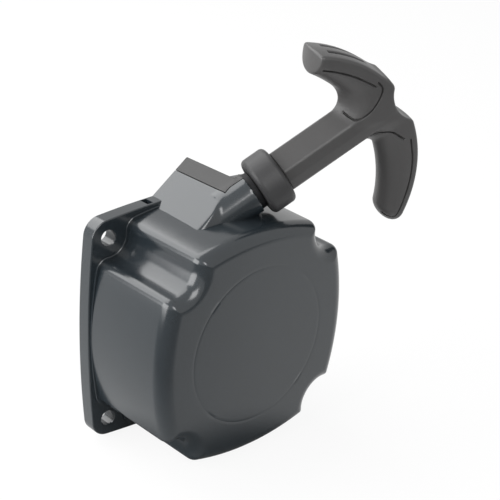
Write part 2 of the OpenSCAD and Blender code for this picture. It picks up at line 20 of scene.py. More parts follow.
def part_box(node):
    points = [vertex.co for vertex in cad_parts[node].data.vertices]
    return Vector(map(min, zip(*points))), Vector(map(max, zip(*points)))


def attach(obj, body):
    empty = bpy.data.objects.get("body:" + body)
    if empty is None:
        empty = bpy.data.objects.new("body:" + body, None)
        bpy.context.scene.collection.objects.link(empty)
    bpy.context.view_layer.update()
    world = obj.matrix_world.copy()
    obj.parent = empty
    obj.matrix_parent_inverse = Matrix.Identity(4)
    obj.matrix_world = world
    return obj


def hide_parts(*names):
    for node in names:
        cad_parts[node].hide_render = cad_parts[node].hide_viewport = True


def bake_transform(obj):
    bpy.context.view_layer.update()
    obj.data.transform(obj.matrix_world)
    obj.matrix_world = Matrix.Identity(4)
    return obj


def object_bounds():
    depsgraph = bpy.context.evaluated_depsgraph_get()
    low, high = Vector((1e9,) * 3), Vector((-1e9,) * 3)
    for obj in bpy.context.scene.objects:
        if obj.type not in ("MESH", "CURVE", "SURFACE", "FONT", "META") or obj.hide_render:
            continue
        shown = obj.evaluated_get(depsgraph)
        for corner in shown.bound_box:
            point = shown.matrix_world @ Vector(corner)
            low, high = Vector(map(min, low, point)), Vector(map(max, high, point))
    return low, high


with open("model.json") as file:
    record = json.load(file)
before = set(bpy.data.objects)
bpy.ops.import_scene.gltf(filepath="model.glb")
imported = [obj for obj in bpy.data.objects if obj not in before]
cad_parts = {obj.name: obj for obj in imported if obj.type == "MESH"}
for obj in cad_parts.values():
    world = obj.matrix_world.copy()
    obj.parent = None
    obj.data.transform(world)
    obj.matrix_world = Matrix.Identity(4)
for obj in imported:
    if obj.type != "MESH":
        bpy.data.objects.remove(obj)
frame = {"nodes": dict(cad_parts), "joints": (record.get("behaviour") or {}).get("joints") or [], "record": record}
CAD_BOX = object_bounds()

LOG = logging.getLogger("recoil_starter")
MM = 0.001
# Millimetres that tools, grids and supporting rings reach past an edge
SPARE = 1.0
# Metres within which two points are one
WELD = 1e-6
Flat = tuple[float, float]
Place = tuple[float, float, float]
Ring = list[Vector]


def record_mount(name: str) -> dict:
    """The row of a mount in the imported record."""
    return next(m for m in frame["record"]["mounts"] if m["name"] == name)


def record_joint(name: str) -> dict:
    """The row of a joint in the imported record."""
    return next(j for j in frame["joints"] if j["name"] == name)


def from_front(x: float, up: float, depth: float) -> Vector:
    """Turns a place seen from the front, and its depth, into the frame in millimetres."""
    return Vector((x, -depth, up))


def arc(centre: Flat, radius: float, start: float, stop: float, steps: int, last: bool) -> list[Flat]:
    """Points on an arc.

    Args:
        centre: centre of the arc.
        radius: its radius.
        start: first angle in degrees.
        stop: last angle in degrees.
        steps: number of steps between them.
        last: whether the last point is kept.

    Returns:
        The points in order.
    """
    count = steps + 1 if last else steps
    turns = [math.radians(start + (stop - start) * i / steps) for i in range(count)]
    return [(centre[0] + radius * math.cos(a), centre[1] + radius * math.sin(a)) for a in turns]


def link(name: str, mesh: bpy.types.Mesh) -> bpy.types.Object:
    """Puts a mesh in the scene as an object at the origin.

    Args:
        name: name of the new object.
        mesh: its mesh, in metres.

    Returns:
        The new object.
    """
    obj = bpy.data.objects.new(name, mesh)
    bpy.context.scene.collection.objects.link(obj)
    return obj


def link_bmesh(name: str, bm: bmesh.types.BMesh) -> bpy.types.Object:
    """Turns a bmesh into an object at the origin, and frees it.

    Args:
        name: name of the new object.
        bm: the bmesh, in metres.

    Returns:
        The new object.
    """
    mesh = bpy.data.meshes.new(name)
    bm.to_mesh(mesh)
    bm.free()
    return link(name, mesh)


def loft(name: str, rings: list[Ring]) -> bpy.types.Object:
    """Skins a row of rings that all have the same number of points, and closes both ends.

    Args:
        name: name of the new object.
        rings: the rings in order, in millimetres in the frame.

    Returns:
        The new object, with its faces outwards.
    """
    bm = bmesh.new()
    rows = [[bm.verts.new(p * MM) for p in ring] for ring in rings]
    size = len(rings[0])
    for low, high in zip(rows, rows[1:]):
        for j in range(size):
            k = (j + 1) % size
            bm.faces.new((low[j], low[k], high[k], high[j]))
    for row, ring in ((rows[0], rings[0]), (rows[-1], rings[-1])):
        middle = bm.verts.new(sum(ring, Vector()) / size * MM)
        for j in range(size):
            bm.faces.new((row[j], row[(j + 1) % size], middle))
    bmesh.ops.recalc_face_normals(bm, faces=bm.faces)
    return link_bmesh(name, bm)


def front_loft(name: str, rows: list[tuple[list[Flat], float]]) -> bpy.types.Object:
    """Skins outlines seen from the front, each at its depth."""
    return loft(name, [[from_front(x, y, depth) for x, y in outline] for outline, depth in rows])


def bake_modifiers(obj: bpy.types.Object) -> None:
    """Makes an object's evaluated shape its own plain mesh and drops its modifiers.

    Args:
        obj: the object that changes.
    """
    graph = bpy.context.evaluated_depsgraph_get()
    mesh = bpy.data.meshes.new_from_object(obj.evaluated_get(graph), depsgraph=graph)
    obj.modifiers.clear()
    obj.data = mesh
    mesh.name = obj.name


class Cut(Enum):
    """How one shape acts on another."""

    JOIN = "UNION"
    TAKE = "DIFFERENCE"
    KEEP = "INTERSECT"


def combine(obj: bpy.types.Object, tool: bpy.types.Object, how: Cut) -> None:
    """Joins a tool to an object, takes it away, or keeps what both hold.

    Args:
        obj: the object that changes.
        tool: the other shape, which is used up.
        how: which of the three it is.
    """
    step = obj.modifiers.new("combine", "BOOLEAN")
    step.operation = how.value
    step.solver = "EXACT"
    step.object = tool
    bake_modifiers(obj)
    bpy.data.objects.remove(tool)


def shade(obj: bpy.types.Object, crease: float) -> None:
    """Shades an object smooth, with sharp edges kept and flat faces kept flat.

    Args:
        obj: the object.
        crease: angle in degrees from which an edge is sharp.
    """
    bm = bmesh.new()
    bm.from_mesh(obj.data)
    bmesh.ops.remove_doubles(bm, verts=bm.verts, dist=WELD)
    bmesh.ops.dissolve_degenerate(bm, edges=bm.edges, dist=WELD)
    bm.to_mesh(obj.data)
    bm.free()
    obj.data.shade_smooth()
    obj.data.set_sharp_from_angle(angle=math.radians(crease))
    weigh = obj.modifiers.new("weigh", "WEIGHTED_NORMAL")
    weigh.keep_sharp = True
    bake_modifiers(obj)


def tube(name: str, path: Ring, radius: float, sides: int) -> bpy.types.Object:
    """A closed round tube along a path.

    Args:
        name: name of the new object.
        path: points in millimetres in the frame.
        radius: radius of the tube.
        sides: number of sides.

    Returns:
        The new object.
    """
    rings = []
    side = None
    for i, point in enumerate(path):
        ahead = (path[min(i + 1, len(path) - 1)] - path[max(i - 1, 0)]).normalized()
        side = ahead.orthogonal() if side is None else side - side.dot(ahead) * ahead
        side = side.normalized()
        other = ahead.cross(side)
        turns = [2 * math.pi * k / sides for k in range(sides)]
        rings.append([point + radius * (math.cos(a) * side + math.sin(a) * other) for a in turns])
    return loft(name, rings)


def smooth_path(points: list[Vector], steps: int) -> list[Vector]:
    """A smooth open curve through given points.

    Args:
        points: the points that the curve passes.
        steps: steps between two of them.

    Returns:
        The points of the curve.
    """
    ends = [2 * points[0] - points[1], *points, 2 * points[-1] - points[-2]]
    curve = []
    for a, b, c, d in zip(ends, ends[1:], ends[2:], ends[3:]):
        for i in range(steps):
            t = i / steps
            curve.append(0.5 * (2 * b + (c - a) * t + (2 * a - 5 * b + 4 * c - d) * t ** 2
                                + (3 * b - a - 3 * c + d) * t ** 3))
    return [*curve, points[-1]]


class Grain(Enum):
    """Fine relief of a surface."""

    MOULDED = "moulded"
    BRUSHED = "brushed"
    BRAIDED = "braided"


class Sockets:
    """Short hand for building node trees, with the ends of a group where the tree is one."""

    start: bpy.types.Node
    end: bpy.types.Node

    def __init__(self, tree: bpy.types.NodeTree) -> None:
        """Keeps the tree that nodes go into."""
        self.tree = tree

    def add(self, kind: str, **values: object) -> bpy.types.Node:
        """Adds a node and sets its properties.

        Args:
            kind: type of the node.
            **values: properties of the node.

        Returns:
            The new node.
        """
        node = self.tree.nodes.new(kind)
        for name, value in values.items():
            setattr(node, name, value)
        return node

    def join(self, source: bpy.types.NodeSocket, target: bpy.types.NodeSocket) -> None:
        """Links two sockets."""
        self.tree.links.new(source, target)

    def feed(self, target: bpy.types.NodeSocket, value: object) -> None:
        """Links a socket to an input, or sets the input to a plain number.

        Args:
            target: the input.
            value: the socket or number.
        """
        if isinstance(value, bpy.types.NodeSocket):
            self.join(value, target)
        else:
            target.default_value = value

    def maths(self, operation: str, first: object, second: object = 0.0) -> bpy.types.NodeSocket:
        """A Math node between sockets or plain numbers.

        Args:
            operation: name of the operation.
            first: first socket or number.
            second: second socket or number.

        Returns:
            The node's output.
        """
        node = self.add("ShaderNodeMath", operation=operation)
        self.feed(node.inputs[0], first)
        self.feed(node.inputs[1], second)
        return node.outputs[0]

    def measure(self, operation: str, place: bpy.types.NodeSocket,
                other: Vector | Place) -> bpy.types.NodeSocket:
        """A number that a Vector Math node works out from a place and a fixed vector.

        Args:
            operation: name of the operation.
            place: the place.
            other: the fixed vector.

        Returns:
            The value socket.
        """
        node = self.add("ShaderNodeVectorMath", operation=operation)
        self.join(place, node.inputs[0])
        node.inputs[1].default_value = other
        return node.outputs["Value"]

    def smooth_step(self, value: bpy.types.NodeSocket, span: Flat, ends: Flat) -> bpy.types.NodeSocket:
        """Eases a value from one end to the other over a span.

        Args:
            value: the value.
            span: where the change starts and stops.
            ends: what comes out at the start and at the stop.

        Returns:
            The eased value.
        """
        node = self.add("ShaderNodeMapRange", interpolation_type="SMOOTHSTEP")
        self.join(value, node.inputs["Value"])
        for label, number in zip(("From Min", "From Max", "To Min", "To Max"), (*span, *ends)):
            node.inputs[label].default_value = number
        return node.outputs["Result"]

    def noise(self, vector: bpy.types.NodeSocket, scale: object, detail: float) -> bpy.types.NodeSocket:
        """A Noise texture's value.

        Args:
            vector: where the texture is read.
            scale: its scale, a socket or a number.
            detail: its detail.

        Returns:
            The value socket.
        """
        node = self.add("ShaderNodeTexNoise")
        node.inputs["Detail"].default_value = detail
        self.join(vector, node.inputs["Vector"])
        self.feed(node.inputs["Scale"], scale)
        return node.outputs["Fac"]


class Effects:
    """Shader groups that several finishes share, each built once."""

    made: dict[str, bpy.types.NodeTree] = {}
    speck_finer = 14.0
    speck_share = 0.5
    line_finer = 22.0
    line_stretch = (1.0, 1.0, 0.12)
    line_turn = (0.5, 0.3, 0.7)
    line_from = 0.70
    worn_from = 0.55
    rub_rough = 0.3
    wide_share = 0.2

    @classmethod
    def group(cls, name: str, inputs: list[tuple[str, str]],
              outputs: list[tuple[str, str]]) -> Sockets | None:
        """Starts a group, unless it is there already.

        Args:
            name: name of the group.
            inputs: name and type of each input.
            outputs: name and type of each output.

        Returns:
            The empty tree with its ends in place, or None where the group is built.
        """
        if name in cls.made:
            return None
        tree = bpy.data.node_groups.new(name, "ShaderNodeTree")
        for in_out, rows in (("INPUT", inputs), ("OUTPUT", outputs)):
            for label, kind in rows:
                tree.interface.new_socket(label, in_out=in_out, socket_type=f"NodeSocket{kind}")
        cls.made[name] = tree
        sockets = Sockets(tree)
        sockets.start = sockets.add("NodeGroupInput")
        sockets.end = sockets.add("NodeGroupOutput")
        return sockets

    @classmethod
    def mottle(cls) -> bpy.types.NodeTree:
        """Slow change of colour and roughness over a surface, with fine scuffs.

        Returns:
            A group from Color, Roughness, Scale, Amount, Spread and Scuff to Color and Roughness.
        """
        kit = cls.group("mottle",
                        [("Color", "Color"), ("Roughness", "Float"), ("Scale", "Float"),
                         ("Amount", "Float"), ("Spread", "Float"), ("Scuff", "Float")],
                        [("Color", "Color"), ("Roughness", "Float")])
        if kit:
            given = kit.start.outputs
            place = kit.add("ShaderNodeTexCoord").outputs["Object"]
            cloud = kit.noise(place, given["Scale"], 4.0)
            speck = kit.noise(place, kit.maths("MULTIPLY", given["Scale"], cls.speck_finer), 3.0)
            stretch = kit.add("ShaderNodeMapping")
            stretch.inputs["Scale"].default_value = cls.line_stretch
            stretch.inputs["Rotation"].default_value = cls.line_turn
            kit.join(place, stretch.inputs["Vector"])
            line = kit.noise(stretch.outputs[0], kit.maths("MULTIPLY", given["Scale"], cls.line_finer), 2.0)
            worn = kit.maths("GREATER_THAN", cloud, cls.worn_from)
            rub = kit.maths("MULTIPLY", kit.maths("GREATER_THAN", line, cls.line_from), worn)
            drift = kit.maths("MULTIPLY", kit.maths("SUBTRACT", cloud, 0.5), given["Amount"])
            drift = kit.maths("ADD", drift, kit.maths("MULTIPLY", kit.maths("SUBTRACT", speck, 0.5),
                                                      kit.maths("MULTIPLY", given["Amount"], cls.speck_share)))
            drift = kit.maths("ADD", drift, kit.maths("MULTIPLY", rub, given["Scuff"]))
            tone = kit.add("ShaderNodeHueSaturation")
            kit.join(given["Color"], tone.inputs["Color"])
            kit.join(kit.maths("ADD", drift, 1.0), tone.inputs["Value"])
            kit.join(tone.outputs["Color"], kit.end.inputs["Color"])
            rough = kit.maths("MULTIPLY", kit.maths("SUBTRACT", cloud, 0.5), given["Spread"])
            dull = kit.maths("MULTIPLY", given["Scuff"], cls.rub_rough)
            rough = kit.maths("ADD", rough, kit.maths("MULTIPLY", rub, dull))
            kit.join(kit.maths("ADD", given["Roughness"], rough), kit.end.inputs["Roughness"])
        return cls.made["mottle"]

    @classmethod
    def relief(cls) -> bpy.types.NodeTree:
        """Fine height of a moulded or polished surface.

        Returns:
            A group from Scale and Along to Height, where Along draws the grain out in one direction.
        """
        kit = cls.group("relief", [("Scale", "Float"), ("Along", "Vector")], [("Height", "Float")])
        if kit:
            given = kit.start.outputs
            place = kit.add("ShaderNodeTexCoord").outputs["Object"]
            drawn = kit.add("ShaderNodeVectorMath", operation="MULTIPLY")
            kit.join(place, drawn.inputs[0])
            kit.join(given["Along"], drawn.inputs[1])
            fine = kit.noise(drawn.outputs[0], given["Scale"], 2.0)
            wide = kit.noise(drawn.outputs[0], kit.maths("MULTIPLY", given["Scale"], cls.wide_share), 2.0)
            kit.join(kit.maths("ADD", fine, wide), kit.end.inputs["Height"])
        return cls.made["relief"]


@dataclass(frozen=True)
class Finish:
    """One surface finish: its colour, gloss and fine relief."""

    name: str
    color: tuple[float, float, float]
    roughness: float
    metallic: float = 0.0
    grain: Grain = Grain.MOULDED
    grain_mm: float = 0.35
    grain_deep_mm: float = 0.02
    patch_mm: float = 20.0
    amount: float = 0.25
    spread: float = 0.12
    scuff: float = 0.2
    specular: float = 0.5
    strand_mm: float = 3.5
    strand_share: float = 0.45
    strand_lean: float = 0.8
    # Painted shade between the rope's strands: how light it stays, and how much of the colour it takes
    gap_shade_light: float = 0.3
    gap_shade_mix: float = 0.75
    brushed: Place = (1.0, 0.06, 1.0)

    def material(self) -> bpy.types.Material:
        """Builds the material, or finds it where it is built.

        Returns:
            The material of this finish.
        """
        found = bpy.data.materials.get(self.name)
        if found:
            return found
        made = bpy.data.materials.new(self.name)
        made.use_nodes = True
        kit = Sockets(made.node_tree)
        shader = made.node_tree.nodes["Principled BSDF"]
        shader.inputs["Metallic"].default_value = self.metallic
        shader.inputs["Specular IOR Level"].default_value = self.specular
        mottle = kit.add("ShaderNodeGroup", node_tree=Effects.mottle())
        mottle.inputs["Color"].default_value = (*self.color, 1.0)
        for label, value in (("Roughness", self.roughness), ("Scale", 1 / (self.patch_mm * MM)),
                             ("Amount", self.amount), ("Spread", self.spread), ("Scuff", self.scuff)):
            mottle.inputs[label].default_value = value
        kit.join(mottle.outputs["Roughness"], shader.inputs["Roughness"])
        if self.grain is Grain.BRAIDED:
            height, gap_shade = self._braid(kit)
            # Painted shade: the base colour is darkened between the strands
            gap_shade_node = kit.add("ShaderNodeMix", data_type="RGBA", blend_type="MULTIPLY")
            gap_shade_node.inputs[0].default_value = self.gap_shade_mix
            kit.join(mottle.outputs["Color"], gap_shade_node.inputs["A"])
            kit.join(gap_shade, gap_shade_node.inputs["B"])
            kit.join(gap_shade_node.outputs["Result"], shader.inputs["Base Color"])
        else:
            kit.join(mottle.outputs["Color"], shader.inputs["Base Color"])
            relief = kit.add("ShaderNodeGroup", node_tree=Effects.relief())
            relief.inputs["Scale"].default_value = 1 / (self.grain_mm * MM)
            along = self.brushed if self.grain is Grain.BRUSHED else (1.0, 1.0, 1.0)
            relief.inputs["Along"].default_value = along
            height = relief.outputs["Height"]
        bump = kit.add("ShaderNodeBump")
        bump.inputs["Distance"].default_value = self.grain_deep_mm * MM
        kit.join(height, bump.inputs["Height"])
        kit.join(bump.outputs["Normal"], shader.inputs["Normal"])
        return made

    def _braid(self, kit: Sockets) -> tuple[bpy.types.NodeSocket, bpy.types.NodeSocket]:
        """Crossing strands along the pull, read where the rope is, so that they keep their size.

        Args:
            kit: the material's tree.

        Returns:
            Height of the strands, and the painted shade between them.
        """
        place = kit.add("ShaderNodeTexCoord").outputs["Object"]
        waves = []
        pull = Vector(record_joint("handle_pull")["axis"])
        across = pull.orthogonal().normalized()
        for sign in (1, -1):
            lean = kit.measure("DOT_PRODUCT", place, pull + sign * self.strand_lean * across)
            turn = kit.maths("MULTIPLY", lean, 2 * math.pi / (self.strand_share * self.strand_mm * MM))
            waves.append(kit.maths("ADD", kit.maths("MULTIPLY", kit.maths("SINE", turn), 0.5), 0.5))
        height = kit.maths("MAXIMUM", waves[0], waves[1])
        # Painted shade, darkest where the strands dip
        gap_shade = kit.maths("MULTIPLY", height, 1 - self.gap_shade_light)
        return height, kit.maths("ADD", gap_shade, self.gap_shade_light)


class Finishes:
    """Every finish on the starter."""

    COVER = Finish("cover_black", (0.0145, 0.0195, 0.0235), 0.18, grain_mm=1.6,
                   grain_deep_mm=0.006, patch_mm=26.0, amount=0.3, spread=0.08, scuff=0.0, specular=0.7)
    CAP = Finish("cap_black", (0.024, 0.024, 0.024), 0.46, grain_mm=0.5, grain_deep_mm=0.02, patch_mm=6.0,
                 amount=0.5, spread=0.2, specular=0.36)
    GRIP = Finish("grip_grey", (0.046, 0.045, 0.045), 0.40, grain_mm=0.30, grain_deep_mm=0.035, patch_mm=14.0,
                  amount=0.22, spread=0.12, scuff=0.15)
    COLLAR = Finish("collar_grey", (0.030, 0.030, 0.031), 0.46, grain_mm=0.30, grain_deep_mm=0.03,
                    patch_mm=9.0, amount=0.3, spread=0.14, specular=0.34)
    EYELET = Finish("eyelet_black", (0.006, 0.006, 0.007), 0.55, grain_mm=0.4, grain_deep_mm=0.01,
                    specular=0.2)
    REEL = Finish("reel_nylon", (0.055, 0.060, 0.064), 0.42, grain_mm=0.5, grain_deep_mm=0.02)
    CASE = Finish("case_grey", (0.090, 0.095, 0.100), 0.45, grain_mm=0.5, grain_deep_mm=0.02)
    STEEL = Finish("turned_steel", (0.56, 0.57, 0.58), 0.30, 1.0, Grain.BRUSHED, 0.25, 0.006, 12.0, 0.2)
    ZINC = Finish("zinc_plate", (0.63, 0.64, 0.62), 0.34, 1.0, Grain.MOULDED, 0.5, 0.006, 7.0, 0.35, 0.2)
    SPRING = Finish("spring_steel", (0.34, 0.35, 0.37), 0.32, 1.0, Grain.BRUSHED, 0.3, 0.006, 10.0, 0.3)
    BRONZE = Finish("sintered_bronze", (0.55, 0.38, 0.18), 0.42, 1.0, Grain.MOULDED, 0.3, 0.01, 8.0, 0.3)
    ROPE = Finish("braided_rope", (0.58, 0.55, 0.47), 0.78, grain=Grain.BRAIDED, grain_deep_mm=0.25,
                  amount=0.3)


@dataclass
class Studio:
    """Floor, backdrop, light and the camera of the photograph.

    Seen only in reflections on the starter, the floor carries painted shade that grows over a span towards the
    front side, and a painted shadow near the foot.
    """

    eye_mm: Place = (-287.5, -344.4, 227.3)
    right: Place = (0.7394, -0.6713, 0.0514)
    up: Place = (0.2441, 0.3383, 0.9089)
    lens_mm: float = 86.64
    sensor_mm: float = 36.0
    clip_m: float = 0.01
    floor_half_m: float = 4.0
    floor_gap_mm: float = 0.3
    ambient: float = 0.38
    mirrored: float = 0.95
    floor_paint: tuple[float, float, float, float] = (0.86, 0.86, 0.86, 1.0)
    floor_glow: float = 0.9
    # Painted shade seen only in reflections: the floor's glow for glossy rays dims towards the front side
    reflection_shade_side: Place = (-0.7, -0.7, 0.0)
    reflection_shade_span: Flat = (0.02, 0.16)
    painted_reflection_shade: float = 0.75
    # Painted shadow seen only in reflections: the floor's glow for glossy rays dims near the starter's foot
    foot_shadow_centre: Place = (-0.01, -0.03, -0.051)
    foot_shadow_span: Flat = (0.03, 0.06)
    painted_foot_shadow: float = 0.9
    aim_at: Place = (0.0, -0.025, 0.02)
    lamps: tuple[tuple[str, Place, float, float], ...] = (
        ("sky_box", (-0.2, 0.8, 1.05), 1.3, 16.5),
        ("left_box", (-0.95, 0.25, 0.35), 0.9, 13.0),
        ("front_box", (-0.35, -1.0, 0.75), 0.6, 6.0),
    )

    def build(self) -> None:
        """Makes the camera, the floor, the world and the lamps."""
        self._camera()
        self._floor()
        self._world()
        for lamp in self.lamps:
            self._lamp(*lamp)
        bpy.context.scene.view_settings.view_transform = "Standard"

    def _camera(self) -> None:
        """Sets the camera where the photograph was taken."""
        right, up = Vector(self.right).normalized(), Vector(self.up)
        up = (up - up.dot(right) * right).normalized()
        turn = Matrix((right, up, right.cross(up))).transposed().to_4x4()
        data = bpy.data.cameras.new("photo_camera")
        data.lens = self.lens_mm
        data.sensor_width = self.sensor_mm
        data.clip_start = self.clip_m
        camera = bpy.data.objects.new("photo_camera", data)
        camera.matrix_world = Matrix.Translation(Vector(self.eye_mm) * MM) @ turn
        bpy.context.scene.collection.objects.link(camera)
        bpy.context.scene.camera = camera

    def _white_ray(self, kit: Sockets) -> bpy.types.NodeSocket:
        """Tells rays that see the background from rays that light the object.

        Args:
            kit: the tree that the nodes go into.

        Returns:
            A socket that is 1 for camera, glossy and transmission rays.
        """
        path = kit.add("ShaderNodeLightPath")
        seen = kit.maths("MAXIMUM", path.outputs["Is Camera Ray"], path.outputs["Is Glossy Ray"])
        return kit.maths("MAXIMUM", seen, path.outputs["Is Transmission Ray"])

    def _floor(self) -> None:
        """Lays a pale floor just under the starter, whose reflections carry painted shade and a painted shadow
        round the foot.
        """
        bm = bmesh.new()
        bmesh.ops.create_grid(bm, x_segments=1, y_segments=1, size=self.floor_half_m)
        floor = link_bmesh("floor", bm)
        floor.data.transform(Matrix.Translation((0, 0, CAD_BOX[0].z - self.floor_gap_mm * MM)))
        made = bpy.data.materials.new("pale_floor")
        made.use_nodes = True
        kit = Sockets(made.node_tree)
        made.node_tree.nodes.clear()
        paint = kit.add("ShaderNodeBsdfDiffuse")
        paint.inputs["Color"].default_value = self.floor_paint
        glow = kit.add("ShaderNodeEmission")
        place = kit.add("ShaderNodeTexCoord").outputs["Object"]
        ahead = kit.measure("DOT_PRODUCT", place, self.reflection_shade_side)
        apart = kit.measure("DISTANCE", place, self.foot_shadow_centre)
        # Painted shade in the floor's reflections, darker towards the front
        front = kit.smooth_step(ahead, self.reflection_shade_span, (0.0, self.painted_reflection_shade))
        # Painted shadow round the starter's foot, in the floor's reflections
        foot = kit.smooth_step(apart, self.foot_shadow_span, (self.painted_foot_shadow, 0.0))
        glossy = kit.add("ShaderNodeLightPath").outputs["Is Glossy Ray"]
        # Glossy rays see the floor's glow lowered by both the painted shade and the painted shadow
        painted_floor_dim = kit.maths("MULTIPLY", kit.maths("MAXIMUM", front, foot), glossy)
        kit.join(kit.maths("SUBTRACT", 1.0, painted_floor_dim), glow.inputs["Strength"])
        mix = kit.add("ShaderNodeMixShader")
        kit.join(kit.maths("MULTIPLY", self._white_ray(kit), self.floor_glow), mix.inputs[0])
        kit.join(paint.outputs[0], mix.inputs[1])
        kit.join(glow.outputs[0], mix.inputs[2])
        kit.join(mix.outputs[0], kit.add("ShaderNodeOutputMaterial").inputs["Surface"])
        floor.data.materials.append(made)

    def _world(self) -> None:
        """Surrounds the starter with white that lights it softly."""
        world = bpy.data.worlds.new("studio")
        world.use_nodes = True
        bpy.context.scene.world = world
        kit = Sockets(world.node_tree)
        back = world.node_tree.nodes["Background"]
        back.inputs["Color"].default_value = (1, 1, 1, 1)
        path = kit.add("ShaderNodeLightPath")
        seen = kit.maths("MAXIMUM", path.outputs["Is Camera Ray"], path.outputs["Is Transmission Ray"])
        mirror = kit.maths("MULTIPLY", path.outputs["Is Glossy Ray"], self.mirrored)
        bright = kit.maths("MAXIMUM", seen, mirror)
        kit.join(kit.maths("MAXIMUM", bright, self.ambient), back.inputs["Strength"])

    def _lamp(self, name: str, place: Place, size: float, power: float) -> None:
        """Hangs a soft box that faces the starter.

        Args:
            name: name of the lamp.
            place: its place in metres.
            size: side of the box in metres.
            power: its power in watts.
        """
        data = bpy.data.lights.new(name, "AREA")
        data.size = size
        data.energy = power
        lamp = bpy.data.objects.new(name, data)
        aim = Vector(self.aim_at) - Vector(place)
        lamp.matrix_world = Matrix.Translation(place) @ aim.to_track_quat("-Z", "Y").to_matrix().to_4x4()
        lamp.visible_camera = False
        bpy.context.scene.collection.objects.link(lamp)


